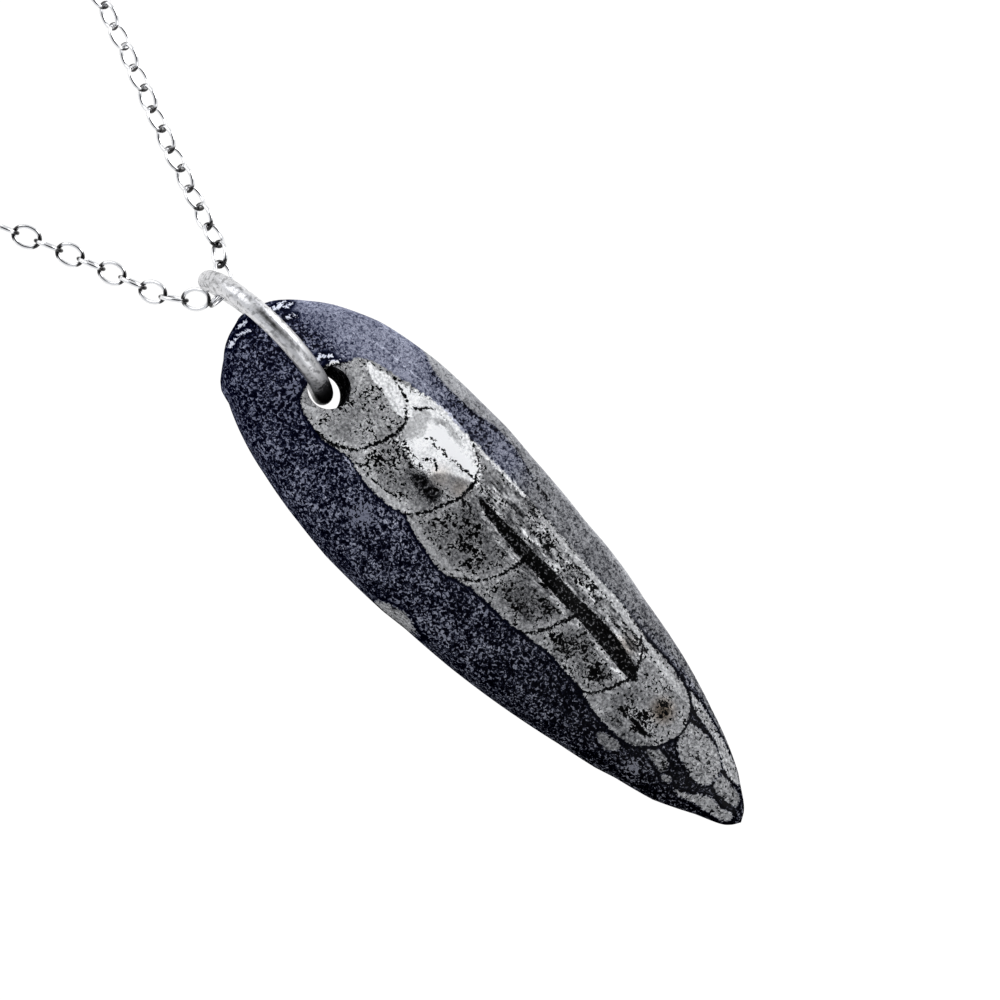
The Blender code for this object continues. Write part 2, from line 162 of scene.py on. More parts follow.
SEPTA = [
    [(-13.4, -2.6, 0.06), (-12.0, -2.5, 0.09), (-11.3, -2.2, 0.1), (-10.4, -1.6, 0.08),
     (-9.8, -0.6, 0.09), (-9.4, 0.5, 0.13), (-9.2, 1.5, 0.12), (-9.3, 2.2, 0.1), (-9.7, 2.8, 0.06)],
    [(-4.9, -2.4, 0.07), (-4.1, -1.5, 0.09), (-3.7, -0.8, 0.07), (-3.4, 0.1, 0.09),
     (-3.0, 1.0, 0.12), (-2.9, 2.0, 0.1), (-3.0, 2.7, 0.12), (-3.2, 3.1, 0.08)],
    [(0.5, -3.1, 0.02), (1.0, -2.8, 0.03), (1.7, -2.3, 0.04), (2.4, -1.4, 0.05),
     (2.9, -0.3, 0.07), (3.1, 0.5, 0.1), (3.3, 1.3, 0.13)],
    [(5.2, -2.8, 0.08), (6.0, -2.8, 0.09), (6.9, -2.2, 0.09), (7.6, -1.3, 0.09),
     (8.0, -0.3, 0.09), (8.3, 0.4, 0.09), (8.6, 1.1, 0.1)],
    [(11.9, -2.2, 0.07), (12.6, -2.2, 0.09), (13.3, -1.7, 0.09), (13.8, -0.8, 0.1),
     (14.2, 0.2, 0.12), (14.4, 1.0, 0.12), (14.3, 1.6, 0.1), (14.0, 2.3, 0.09), (13.6, 3.0, 0.08),
     (13.0, 3.5, 0.06)],
]
SIPHUNCLE = [
    (-1.8, 2.05, 0.12), (-0.7, 1.9, 0.28), (0.8, 1.8, 0.4), (2.1, 1.75, 0.46), (3.2, 1.7, 0.5),
    (4.7, 1.7, 0.52), (6.4, 1.65, 0.54), (8.1, 1.6, 0.54), (9.4, 1.65, 0.58), (11.0, 1.6, 0.62),
    (12.6, 1.4, 0.6), (14.0, 1.2, 0.48), (14.7, 1.0, 0.2),
]
VEINS = [  # pale calcite strips: lightness, then the stroke
    (0.92, [(-13.8, 3.3, 0.24), (-12.9, 3.25, 0.45), (-12.0, 3.25, 0.58), (-10.9, 3.0, 0.6),
            (-10.1, 2.8, 0.55), (-9.6, 2.6, 0.28)]),
    (0.93, [(-9.8, 4.3, 0.12), (-9.0, 4.5, 0.28), (-8.1, 4.7, 0.3), (-6.7, 4.7, 0.28),
            (-5.4, 4.5, 0.26), (-4.6, 4.1, 0.22), (-4.1, 3.7, 0.12)]),
    (0.9, [(-5.0, 4.8, 0.1), (-4.1, 4.7, 0.17), (-3.3, 4.7, 0.18), (-2.3, 4.7, 0.16),
           (-1.2, 4.7, 0.14), (0.2, 4.6, 0.14)]),
    (0.72, [(1.7, 4.4, 0.1), (3.3, 4.25, 0.18), (5.1, 4.1, 0.2), (6.4, 4.05, 0.24),
            (7.7, 4.0, 0.22), (9.1, 4.0, 0.26), (10.8, 3.8, 0.26), (12.0, 3.6, 0.26),
            (13.1, 3.5, 0.2), (14.4, 3.4, 0.24), (15.2, 3.15, 0.28), (16.4, 3.0, 0.3),
            (17.4, 2.85, 0.22), (18.0, 2.7, 0.1)]),
    (0.7, [(-11.2, -2.4, 0.1), (-10.4, -2.4, 0.18), (-9.4, -2.5, 0.25), (-8.4, -2.6, 0.27),
           (-7.3, -2.5, 0.27), (-6.2, -2.4, 0.27), (-5.0, -2.1, 0.16)]),
    (0.63, [(-4.3, -2.3, 0.12), (-3.0, -2.7, 0.24), (-1.9, -2.8, 0.28), (-0.5, -2.9, 0.26),
            (1.0, -2.7, 0.16)]),
    (0.62, [(-14.2, 3.6, 0.06), (-13.3, 4.0, 0.1), (-12.6, 4.15, 0.12), (-11.8, 4.2, 0.08)]),
    (0.7, [(-15.3, 4.6, 0.03), (-14.4, 4.9, 0.06), (-13.2, 5.1, 0.07), (-12.2, 5.05, 0.05),
           (-11.1, 5.2, 0.04), (-10.0, 5.3, 0.02)]),
    (0.7, [(-14.9, 2.6, 0.12), (-14.2, 2.35, 0.3), (-13.6, 2.0, 0.22), (-13.0, 1.2, 0.06)]),
]
CALCITE = [  # the crushed part
    (-9.6, 2.6), (-10.3, 3.3), (-11.6, 3.9), (-10.4, 4.4), (-9.0, 4.8), (-7.7, 4.8), (-6.1, 4.5),
    (-4.8, 4.2), (-3.6, 3.9), (-2.8, 3.0), (-2.9, 2.0), (-3.2, 1.1), (-4.1, 0.6), (-5.6, 0.7),
    (-6.6, 0.6), (-7.6, 0.9), (-8.6, 1.1), (-9.1, 1.8),
]
CALCITE_SHADES = [  # lightness, then the outline
    (0.8, [(-9.5, 2.7), (-8.6, 2.6), (-8.1, 1.9), (-8.4, 1.2), (-8.8, 1.0), (-9.0, 1.8)]),
    (0.78, [(-9.6, 3.3), (-9.1, 3.9), (-8.2, 3.9), (-8.0, 3.1), (-7.7, 2.5), (-8.0, 2.0),
            (-8.5, 2.5)]),
    (0.74, [(-8.1, 3.8), (-7.6, 4.3), (-6.8, 4.5), (-5.7, 4.2), (-5.4, 3.8), (-6.2, 3.8),
           (-7.2, 3.9), (-7.8, 3.6)]),
    (0.6, [(-5.5, 0.6), (-5.1, 1.4), (-4.5, 1.9), (-3.6, 2.3), (-2.9, 2.6), (-2.7, 1.2),
           (-4.1, 0.4), (-5.0, 0.5)]),
]
WHITE_PATCH = [
    (-7.7, 3.5), (-7.2, 3.9), (-6.2, 3.7), (-5.3, 3.6), (-4.3, 3.5), (-3.3, 3.4), (-3.0, 3.1),
    (-3.7, 2.9), (-4.7, 2.8), (-5.5, 2.8), (-6.3, 2.7), (-7.0, 2.6), (-7.5, 2.7),
]
BLACK_PATCH = [
    (-6.8, -0.2), (-6.2, 0.3), (-5.7, 0.6), (-4.9, 0.4), (-4.1, 0.4), (-3.8, -0.4), (-4.4, -0.7),
    (-5.3, -0.7), (-5.9, -0.5),
]
CRACKS = [
    [(-2.7, 1.2, 0.08), (-2.3, 0.8, 0.09), (-1.8, 0.5, 0.05)],
    [(-2.4, 1.4, 0.06), (-2.0, 1.2, 0.08), (-1.6, 0.8, 0.06)],
    [(2.5, 2.6, 0.06), (2.9, 2.3, 0.08)],
    [(7.9, 3.7, 0.05), (8.6, 3.0, 0.07)],
    [(10.7, 2.7, 0.04), (11.9, 2.8, 0.09), (12.9, 2.7, 0.06)],
    [(16.1, -1.2, 0.1), (16.8, -1.1, 0.18), (17.6, -1.2, 0.26), (18.3, -1.0, 0.12)],
    [(-12.2, 1.0, 0.04), (-12.0, 1.6, 0.08), (-11.8, 2.2, 0.04)],
    [(-12.7, 1.7, 0.04), (-12.5, 2.2, 0.06), (-12.1, 2.7, 0.04)],
    [(-7.4, 2.5, 0.02), (-7.1, 2.8, 0.03), (-6.6, 2.5, 0.04), (-6.3, 2.7, 0.02), (-5.6, 2.6, 0.04),
     (-5.0, 2.7, 0.03), (-4.4, 2.7, 0.05), (-3.8, 2.8, 0.03), (-3.1, 2.9, 0.02)],
    [(-8.4, 1.2, 0.05), (-8.0, 0.7, 0.08), (-7.6, 0.4, 0.06), (-6.9, 0.4, 0.09), (-6.4, 0.4, 0.05)],
    [(-12.2, 4.0, 0.02), (-11.2, 3.75, 0.03), (-10.4, 3.5, 0.03), (-10.0, 3.0, 0.02)],
    [(-5.2, 4.75, 0.02), (-4.4, 4.4, 0.03), (-3.6, 3.8, 0.03), (-3.0, 3.2, 0.03)],
    [(-9.6, 3.3, 0.02), (-9.0, 3.9, 0.03), (-8.6, 4.3, 0.02)],
    [(-6.6, 1.3, 0.03), (-6.0, 1.7, 0.07), (-5.5, 1.4, 0.03)],
    [(-10.4, -2.2, 0.02), (-9.2, -2.2, 0.03), (-8.1, -2.25, 0.03), (-7.1, -2.15, 0.03),
     (-6.0, -1.9, 0.02)],
    [(14.5, 3.9, 0.04), (15.6, 3.8, 0.08), (16.8, 3.6, 0.08), (17.8, 3.4, 0.05)],
]
LUMPS = [  # calcite in the dark matrix: lightness, then the outline
    (0.58, [(19.9, 0.2), (19.5, 1.3), (19.8, 1.75), (20.7, 1.95), (22.1, 2.0), (23.1, 1.6),
            (23.8, 0.7), (23.6, -0.6), (22.9, -0.9), (21.8, -0.8), (20.8, -0.5)]),
    (0.66, [(17.8, 3.1), (18.5, 3.0), (19.6, 2.6), (20.9, 2.4), (22.1, 2.15), (23.0, 1.75),
            (23.6, 1.4), (24.3, 1.15), (25.2, 1.2), (25.6, 1.5), (24.8, 2.1), (23.5, 2.5),
            (22.3, 2.8), (20.9, 3.1), (19.3, 3.4), (18.3, 3.4)]),
    (0.52, [(24.0, 0.8), (25.1, 0.9), (26.2, 0.8), (26.4, 0.1), (25.4, -0.3), (24.1, -0.3)]),
    (0.5, [(18.8, -1.9), (19.3, -1.3), (20.1, -1.2), (20.8, -1.6), (20.7, -2.2), (19.7, -2.1)]),
    (0.44, [(15.4, -3.5), (16.3, -2.9), (17.4, -3.0), (16.9, -3.8), (16.1, -3.8)]),
    (0.62, [(22.2, -2.3), (23.3, -1.7), (24.4, -0.9), (25.7, -0.8), (26.8, -0.5), (26.7, -1.1),
            (25.2, -1.6), (24.0, -1.9), (23.0, -2.3)]),
    (0.5, [(20.8, -2.3), (21.3, -1.9), (21.7, -2.1), (21.2, -2.5)]),
    (0.57, [(-1.9, -7.6), (-1.4, -7.4), (-0.9, -7.25), (-0.4, -7.1), (0.1, -7.0), (0.8, -7.1),
            (1.8, -7.3), (2.4, -7.4), (2.4, -8.2), (0.0, -8.6), (-1.8, -8.4)]),
]
CRESCENTS = [  # paler calcite in the last chamber
    [
        (16.5, -2.6), (16.7, -2.0), (17.0, -1.6), (17.9, -1.6), (18.6, -1.1), (18.7, -1.5),
        (17.8, -2.3),
    ],
    [(14.8, -2.3), (15.1, -1.8), (15.9, -1.6), (16.5, -1.8), (16.3, -2.3), (15.6, -2.5)],
]
PALE_SPOTS = [  # (x, y, radius, strength)
    (-15.2, -1.5, 0.8, 0.6), (-7.0, -4.5, 1.0, 0.7), (19.1, -3.3, 0.7, 0.6),
    (-16.3, -1.6, 0.5, 0.6),
]
RUST_SPOTS = [
    (-3.4, 1.6, 0.7, 0.5), (17.7, 0.9, 0.9, 1.0), (-4.9, 1.2, 0.8, 0.4), (12.6, 2.2, 0.8, 0.5),
]
DARK_SPOTS = [
    (-0.8, 0.2, 1.1, 0.5), (5.3, -1.3, 1.1, 0.6), (6.8, 0.2, 0.8, 0.6), (9.4, -1.3, 0.9, 1.0),
    (11.2, -1.6, 0.7, 0.6), (12.9, -0.7, 0.9, 0.6), (16.9, -0.7, 0.6, 0.5), (15.6, -0.9, 0.6, 0.6),
    (0.2, 3.1, 0.6, 0.6), (3.9, 2.9, 0.7, 0.2), (6.3, 3.0, 0.8, 0.2),
    (-6.6, -1.0, 1.0, 0.3), (17.6, 0.9, 0.6, 1.2), (14.9, -0.9, 0.5, 0.8), (15.5, -1.2, 0.5, 0.8),
    (15.3, 0.1, 0.6, 0.8), (10.4, 0.2, 0.8, 0.6), (-12.6, 0.6, 0.9, 0.5),
]
REFLECTION_BAND_EDGE = [  # inner edge of the band along the +Y side where the key softbox's reflection is painted
    (-13.5, 7.9), (-12.9, 7.4), (-11.5, 6.9), (-10.5, 6.4), (-8.5, 6.2), (-6.5, 6.25), (-4.5, 6.65),
    (-3.0, 6.6), (-1.0, 6.2), (0.7, 5.85), (2.5, 5.6), (4.7, 5.3), (7.5, 5.05), (10.1, 4.8),
    (12.0, 4.6), (14.0, 4.4), (18.5, 3.8), (22.0, 2.9), (25.0, 1.9),
]
WHITE_CHIPS = [  # where the edges have flaked
    [(-21.3, 1.4, 0.08), (-21.1, 2.1, 0.15), (-21.0, 2.8, 0.06)],
    [(-20.7, 2.4, 0.1), (-20.6, 2.9, 0.06)],
    [(-20.1, 1.9, 0.09), (-20.0, 2.0, 0.09)],
    [(-19.9, 2.3, 0.07), (-19.8, 2.4, 0.07)],
    [(-22.0, -0.9, 0.06), (-22.0, -0.5, 0.1), (-21.9, -0.2, 0.06)],
    [(-21.5, -2.2, 0.1), (-21.6, -1.9, 0.12), (-21.6, -1.6, 0.06)],
    [(-21.7, -1.4, 0.05), (-21.5, -0.9, 0.12), (-21.3, -0.6, 0.05)],
    [(-16.7, 1.2, 0.1), (-16.5, 1.6, 0.14), (-16.1, 1.9, 0.1)],
    [(-15.9, 1.3, 0.06), (-15.8, 1.7, 0.13), (-15.5, 2.0, 0.08)],
]

# Lightness along the stone, (x, 0 black to 1 white)
MATRIX_TONE = [(-22, 0.19), (-8, 0.2), (0, 0.165), (6, 0.11), (11, 0.05), (13, 0.0), (20, -0.03)]
UPPER_EDGE = [
    (-22, 1.8), (-14, 2.0), (0, 3.0), (14, 3.0), (18, 3.2), (20, 2.9), (23, 2.2), (26, 1.0),
]
# Painted reflection of the softboxes on the ground above the shell
UPPER_REFLECTION_TONE = [
    (-20, 0.56), (-10.5, 0.56), (-8.5, 0.43), (-4, 0.37), (-1, 0.46), (1, 0.5), (8, 0.48),
    (14, 0.44),
]
# Painted reflection on the +Y shoulder: the band, then its rim as a painted highlight
REFLECTION_BAND_TONE = [(-14, 0.7), (-5, 0.64), (-2, 0.53), (1, 0.53), (5, 0.54), (11, 0.52), (15, 0.47)]
RIM_HIGHLIGHT_TONE = [(-14, 0.7), (0, 0.64), (3, 0.76), (11, 0.7), (15, 0.46), (20, 0.42)]
CHAMBER_TONE = [
    (-16, 0.64), (-9.4, 0.61), (-9.2, 0.57), (-3, 0.57), (-2.8, 0.5), (3.4, 0.48), (3.6, 0.47),
    (8.4, 0.47), (8.6, 0.52), (14.3, 0.52), (14.5, 0.58), (20, 0.58),
]
CHAMBER_SPECKS = [
    (-9.4, 0.05), (-9.2, 0.27), (-3, 0.27), (-2.8, 0.38), (3.4, 0.38), (3.6, 0.45), (8.4, 0.45),
    (8.6, 0.44), (14.3, 0.44), (14.5, 0.17),
]


def hex_colour(code):
    """Linear RGBA of an sRGB hex colour."""
    parts = [int(code[i : i + 2], 16) / 255 for i in (1, 3, 5)]
    linear = [c / 12.92 if c <= 0.04045 else ((c + 0.055) / 1.055) ** 2.4 for c in parts]
    return (*linear, 1.0)


def size_property(name, description, mm, low=0.0, high=100.0):
    return FloatProperty(
        name=name, description=description, default=mm * MM, min=low * MM, max=high * MM,
        unit="LENGTH", precision=5,
    )


def colour_property(name, description, code):
    return FloatVectorProperty(
        name=name, description=description, default=hex_colour(code), size=4, min=0.0, max=1.0,
        subtype="COLOR",
    )


class StoneSettings(bpy.types.PropertyGroup):
    mesh_step: size_property("Mesh step", "Spacing of the stone's mesh", 0.13, 0.05, 1.0)
    blue_cast: FloatProperty(
        name="Blue cast", description="How much lighter the matrix is in blue, of 1",
        default=0.105, min=0.0, max=1.0,
    )
    calcite_colour: colour_property("Calcite", "Colour at the white end", "#f7f7f6")
    rust_colour: colour_property("Rust", "Iron stain, multiplied in", "#d2c0ac")


class RingSettings(bpy.types.PropertyGroup):
    radius: size_property("Radius", "To the middle of the wire", RING_RADIUS)
    wire: size_property("Wire", "Diameter of the wire", RING_WIRE)
    colour: colour_property("Steel", "Satin steel", "#d8d8da")


class ChainSettings(bpy.types.PropertyGroup):
    link_length: size_property("Link length", "Outside length of a link", 2.26)
    link_width: size_property("Link width", "Outside width of a link", CHAIN_WIDTH)
    wire: size_property("Wire", "Diameter of the wire", 0.3)
    pitch: size_property("Pitch", "From one link to the next", 1.66)
    colour: colour_property("Silver", "Polished silver", "#f4f4f5")
    wobble: FloatProperty(
        name="Wobble", description="How far a link turns at random about the chain",
        default=math.radians(4.0), subtype="ANGLE",
    )
    seed: IntProperty(name="Seed", description="Seed of the random turns", default=4)


class StageSettings(bpy.types.PropertyGroup):
    floor_colour: colour_property("Light table", "Opal acrylic", "#3c3c3c")
    tent: FloatProperty(
        name="Tent", description="Brightness of the tent's white walls", default=0.9, min=0.0
    )
    key_power: FloatProperty(
        name="Key light", description="Power of the main softbox", default=1.5, unit="POWER"
    )
    fill_power: FloatProperty(
        name="Fill light", description="Power of the softer light", default=0.8, unit="POWER"
    )


# Shared steps


def add_node(tree, kind, inputs=None, **settings):
    """Add a node with its settings. inputs maps sockets to values, or to what feeds them: a
    socket, or a node by its first output."""
    node = tree.nodes.new(kind)
    for key, value in settings.items():
        setattr(node, key, value)
    for key, value in (inputs or {}).items():
        if isinstance(value, bpy.types.Node):
            value = value.outputs[0]
        if isinstance(value, bpy.types.NodeSocket):
            tree.links.new(value, node.inputs[key])
        else:
            node.inputs[key].default_value = value
    return node


def new_material(name):
    """A material with an empty tree, and its tree."""
    mat = bpy.data.materials.new(name)
    mat.use_nodes = True
    mat.node_tree.nodes.clear()
    return mat, mat.node_tree


def faced_mesh(name, corners, faces):
    """A mesh from corners in mm, with its faces turned outward."""
    mesh = bpy.data.meshes.new(name)
    mesh.from_pydata((np.array(corners) * MM).tolist(), [], faces)
    body = bmesh.new()
    body.from_mesh(mesh)
    bmesh.ops.remove_doubles(body, verts=body.verts, dist=WELD_GAP * MM)
    bmesh.ops.recalc_face_normals(body, faces=body.faces)
    body.to_mesh(mesh)
    body.free()
    mesh.shade_smooth()
    return mesh


def plain_mesh(obj):
    """What obj's modifiers make of it."""
    graph = bpy.context.evaluated_depsgraph_get()
    return bpy.data.meshes.new_from_object(obj.evaluated_get(graph), depsgraph=graph)


def combine(obj, other, operation):
    """Join another closed piece to obj, or cut it out."""
    step = obj.modifiers.new("combine", "BOOLEAN")
    step.operation, step.solver, step.object = operation, "EXACT", other
    mesh = plain_mesh(obj)
    obj.modifiers.clear()
    obj.data = mesh
    bpy.data.objects.remove(other, do_unlink=True)


def new_object(name, mesh, mat):
    obj = bpy.data.objects.new(name, mesh)
    bpy.context.scene.collection.objects.link(obj)
    mesh.materials.clear()
    mesh.materials.append(mat)
    return obj


def dress(piece, slot, *nodes):
    """Put a finished piece in the frame, in place of the CAD nodes it stands for."""
    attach(piece, "root")
    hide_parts(*nodes)
    return piece


def smooth_curve(points, samples, closed=False):
    """Points of a centripetal Catmull-Rom curve through rows of numbers."""
    p = np.array(points, float)
    if closed:
        p = np.vstack([p[-1:], p, p[:2]])
    else:
        p = np.vstack([2 * p[0] - p[1], p, 2 * p[-1] - p[-2]])
    out = []
    for a, b, c, d in zip(p, p[1:], p[2:], p[3:]):
        k = np.cumsum([0.0] + [np.linalg.norm(v - u) ** 0.5 for u, v in ((a, b), (b, c), (c, d))])
        t = np.linspace(k[1], k[2], samples, endpoint=False)[:, None]
        ab = ((k[1] - t) * a + (t - k[0]) * b) / (k[1] - k[0])
        bc = ((k[2] - t) * b + (t - k[1]) * c) / (k[2] - k[1])
        cd = ((k[3] - t) * c + (t - k[2]) * d) / (k[3] - k[2])
        abc = ((k[2] - t) * ab + (t - k[0]) * bc) / (k[2] - k[0])
        bcd = ((k[3] - t) * bc + (t - k[1]) * cd) / (k[3] - k[1])
        out.append(((k[2] - t) * abc + (t - k[1]) * bcd) / (k[2] - k[1]))
    out = np.vstack(out)
    return out if closed else np.vstack([out, p[-2]])


def resample(points, step):
    """Points about a step apart along a polyline, ends kept."""
    reach = np.concatenate([[0.0], np.cumsum(np.linalg.norm(np.diff(points, axis=0), axis=1))])
    even = np.linspace(0.0, reach[-1], max(2, round(reach[-1] / step) + 1))
    return np.stack([np.interp(even, reach, points[:, k]) for k in range(points.shape[1])], 1)


def stone_pose():
    """The stone's axes to the way the pendant rests."""
    below_ring = RING_RADIUS * math.cos(RING_LEAN) + RING_WIRE / 2
    pitch = math.asin((below_ring - RING_AT[2]) / (HALF_OUTLINE[-1][0] - BACK_BEVEL - RING_AT[0]))
    turn = Matrix.Rotation(pitch, 4, "Y")
    low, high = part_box("jump_ring")
    offset = (low + high) / 2 - turn @ (Vector(RING_AT) * MM)
    offset.y = 0.0  # the ring's lower half is bent aside
    return Matrix.Translation(offset) @ turn


POSE = stone_pose()


# Camera


class PENDANT_OT_camera(bpy.types.Operator):
    """Aim the camera down at the pendant, with the stone running across the picture"""

    bl_idname = "pendant.camera"
    bl_label = "Camera"

    def execute(self, context):
        back = Vector((0.0, -math.sin(CAMERA_TILT), math.cos(CAMERA_TILT)))
        across = Vector((1.0, 0.0, 0.0))
        upward = Vector((0.0, math.cos(CAMERA_TILT), math.sin(CAMERA_TILT)))
        right = math.cos(CAMERA_ROLL) * across + math.sin(CAMERA_ROLL) * upward
        up = -math.sin(CAMERA_ROLL) * across + math.cos(CAMERA_ROLL) * upward
        data = bpy.data.cameras.new("camera")
        data.lens, data.sensor_width = 135.0, 36.0
        data.clip_start, data.clip_end = 0.01, 10.0
        camera = bpy.data.objects.new("camera", data)
        context.scene.collection.objects.link(camera)
        place = Matrix.Translation(Vector(CAMERA_AIM) * MM + back * CAMERA_DISTANCE * MM)
        camera.matrix_world = place @ Matrix((right, up, back)).transposed().to_4x4()
        context.scene.camera = camera
        return {"FINISHED"}


# Chain


def polished_silver(colour):
    """Polished sterling silver: a mirror that years of wear have hazed with hair-fine scratches."""
    mat = bpy.data.materials.get("polished_silver")
    if mat:
        return mat
    mat, tree = new_material("polished_silver")
    add = partial(add_node, tree)
    place = add("ShaderNodeTexCoord").outputs["Object"]
    # Scratches are a few micrometres wide: drawn at 0.1 mm so that they show
    scratch = add("ShaderNodeTexNoise", {
        "Vector": place, "Scale": 6000.0, "Detail": 3.0, "Roughness": 0.6,
    })
    haze = add("ShaderNodeMapRange", {
        "Value": scratch, "From Min": 0.3, "From Max": 0.75, "To Min": 0.06, "To Max": 0.16,
    })
    tarnish = add("ShaderNodeTexNoise", {"Vector": place, "Scale": 900.0, "Detail": 2.0})
    dull = tuple(0.78 * c for c in colour[:3]) + (1.0,)
    tone = add("ShaderNodeMix", {0: tarnish, 6: colour, 7: dull}, data_type="RGBA").outputs[2]
    # Painted shade where a link bears on the next, deeper at some links than at others
    bow = add("ShaderNodeAttribute", attribute_name="bow").outputs["Fac"]
    joint_shade_noise = add("ShaderNodeTexNoise", {"Vector": place, "Scale": 130.0, "Detail": 1.0})
    reach = add("ShaderNodeMath", {0: joint_shade_noise, 1: 0.6, 2: bow}, operation="MULTIPLY_ADD")
    # How far the near-black painted shade reaches along each link from its ends
    black = add("ShaderNodeMapRange", {
        "Value": reach, "From Min": 0.98, "From Max": 1.1, "To Max": 0.95,
    })
    joint_shaded_tone = add("ShaderNodeMix", {
        0: black, 6: tone, 7: (0.004, 0.003, 0.003, 1.0),
    }, data_type="RGBA").outputs[2]
    bump = add("ShaderNodeBump", {"Height": scratch, "Strength": 0.15, "Distance": 0.00001})
    surface = add("ShaderNodeBsdfPrincipled", {
        "Base Color": joint_shaded_tone, "Roughness": haze, "Normal": bump, "Metallic": 1.0,
    })
    add("ShaderNodeOutputMaterial", {"Surface": surface})
    return mat


def link_tree():
    """Geometry Nodes: oval links threaded one through the next along a curve."""
    tree = bpy.data.node_groups.new("cable_links", "GeometryNodeTree")
    add = partial(add_node, tree)
    socket = tree.interface.new_socket
    socket("Geometry", in_out="INPUT", socket_type="NodeSocketGeometry")
    for name in ("Link Length", "Link Width", "Wire", "Start Roll", "Twist", "Wobble"):
        socket(name, in_out="INPUT", socket_type="NodeSocketFloat")
    for name in ("Links", "Seed"):
        socket(name, in_out="INPUT", socket_type="NodeSocketInt")
    socket("Metal", in_out="INPUT", socket_type="NodeSocketMaterial")
    socket("Geometry", in_out="OUTPUT", socket_type="NodeSocketGeometry")
    given = add("NodeGroupInput").outputs

    # One link: a circle stretched to an oval, with round wire along it
    bend, run = (
        add("ShaderNodeMath", {0: given[a], 1: given[b]}, operation="SUBTRACT")
        for a, b in (("Link Width", "Wire"), ("Link Length", "Link Width"))
    )
    half_bend, wire_radius, half_link = (
        add("ShaderNodeMath", {0: value, 1: 0.5}, operation="MULTIPLY")
        for value in (bend, given["Wire"], given["Link Length"])
    )
    circle, profile = (
        add("GeometryNodeCurvePrimitiveCircle", {"Resolution": count, "Radius": radius})
        for count, radius in ((LINK_STEPS, half_bend), (WIRE_SIDES, wire_radius))
    )
    stretch = add("ShaderNodeMath", {0: run, 1: bend}, operation="DIVIDE")
    spot = add("GeometryNodeInputPosition")
    x = add("ShaderNodeSeparateXYZ", {0: spot})
    pull = add("ShaderNodeMath", {0: x, 1: stretch}, operation="MULTIPLY")
    offset = add("ShaderNodeCombineXYZ", {"X": pull})
    oval = add("GeometryNodeSetPosition", {"Geometry": circle, "Offset": offset})
    link = add("GeometryNodeCurveToMesh", {"Curve": oval, "Profile Curve": profile})
    off_middle = add("ShaderNodeMath", {0: x}, operation="ABSOLUTE")
    bow_share = add("ShaderNodeMath", {0: off_middle, 1: half_link}, operation="DIVIDE")
    marked = add("GeometryNodeStoreNamedAttribute", {
        "Geometry": link, "Name": "bow", "Value": bow_share,
    }, data_type="FLOAT", domain="POINT")
    smooth = add("GeometryNodeSetShadeSmooth", {"Geometry": marked})

    # Each link's turn: along the curve, then a quarter turn from its neighbour
    spaced = add("GeometryNodeResampleCurve", {"Curve": given["Geometry"], "Count": given["Links"]})
    tangent = add("GeometryNodeInputTangent")
    facing = add("FunctionNodeAxesToRotation", {
        "Primary Axis": tangent, "Secondary Axis": (0.0, 0.0, 1.0),
    }, primary_axis="X", secondary_axis="Z")
    index = add("GeometryNodeInputIndex")
    odd = add("ShaderNodeMath", {0: index, 1: 2.0}, operation="FLOORED_MODULO")
    quarter = add("ShaderNodeMath", {
        0: odd, 1: math.pi / 2, 2: given["Start Roll"],
    }, operation="MULTIPLY_ADD")
    share = add("ShaderNodeMath", {0: index, 1: given["Links"]}, operation="DIVIDE")
    twisted = add("ShaderNodeMath", {
        0: share, 1: given["Twist"], 2: quarter,
    }, operation="MULTIPLY_ADD")
    chance = add("FunctionNodeRandomValue", {
        2: -1.0, 3: 1.0, "Seed": given["Seed"],
    }, data_type="FLOAT")
    roll = add("ShaderNodeMath", {
        0: chance.outputs[1], 1: given["Wobble"], 2: twisted,
    }, operation="MULTIPLY_ADD")
    spin = add("FunctionNodeAxisAngleToRotation", {"Axis": (1.0, 0.0, 0.0), "Angle": roll})
    turned = add("FunctionNodeRotateRotation", {
        "Rotation": facing, "Rotate By": spin,
    }, rotation_space="LOCAL")
    threaded = add("GeometryNodeInstanceOnPoints", {
        "Points": spaced, "Instance": smooth, "Rotation": turned,
    })
    solid = add("GeometryNodeRealizeInstances", {"Geometry": threaded})
    metal = add("GeometryNodeSetMaterial", {"Geometry": solid, "Material": given["Metal"]})
    add("NodeGroupOutput", {"Geometry": metal})
    return tree


def make_links(name, path, mat, settings, roll, last_roll=None):
    """A run of links along a path in mm, as one mesh. last_roll twists it to end at that roll."""
    curve = bpy.data.curves.new(name, "CURVE")
    curve.dimensions = "3D"
    spline = curve.splines.new("POLY")
    spline.points.add(len(path) - 1)
    for point, p in zip(spline.points, path):
        point.co = (*(p * MM), 1.0)
    obj = bpy.data.objects.new(name, curve)
    bpy.context.scene.collection.objects.link(obj)
    reach = np.linalg.norm(np.diff(path, axis=0), axis=1).sum() * MM
    links = 2 * round(reach / settings.pitch / 2) + 1  # odd: the last lies like the first
    twist = 0.0
    if last_roll is not None:
        twist = (last_roll - roll + math.pi / 2) % math.pi - math.pi / 2
    modifier = obj.modifiers.new("links", "NODES")
    modifier.node_group = bpy.data.node_groups.get("cable_links") or link_tree()
    values = {
        "Link Length": settings.link_length, "Link Width": settings.link_width,
        "Wire": settings.wire, "Start Roll": roll, "Twist": twist, "Wobble": settings.wobble,
        "Links": links, "Seed": settings.seed, "Metal": mat,
    }
    for item in modifier.node_group.interface.items_tree:
        if item.item_type == "SOCKET" and item.name in values:
            modifier[item.identifier] = values[item.name]
    mesh = plain_mesh(obj)
    bpy.data.objects.remove(obj, do_unlink=True)
    return new_object(name, mesh, mat)


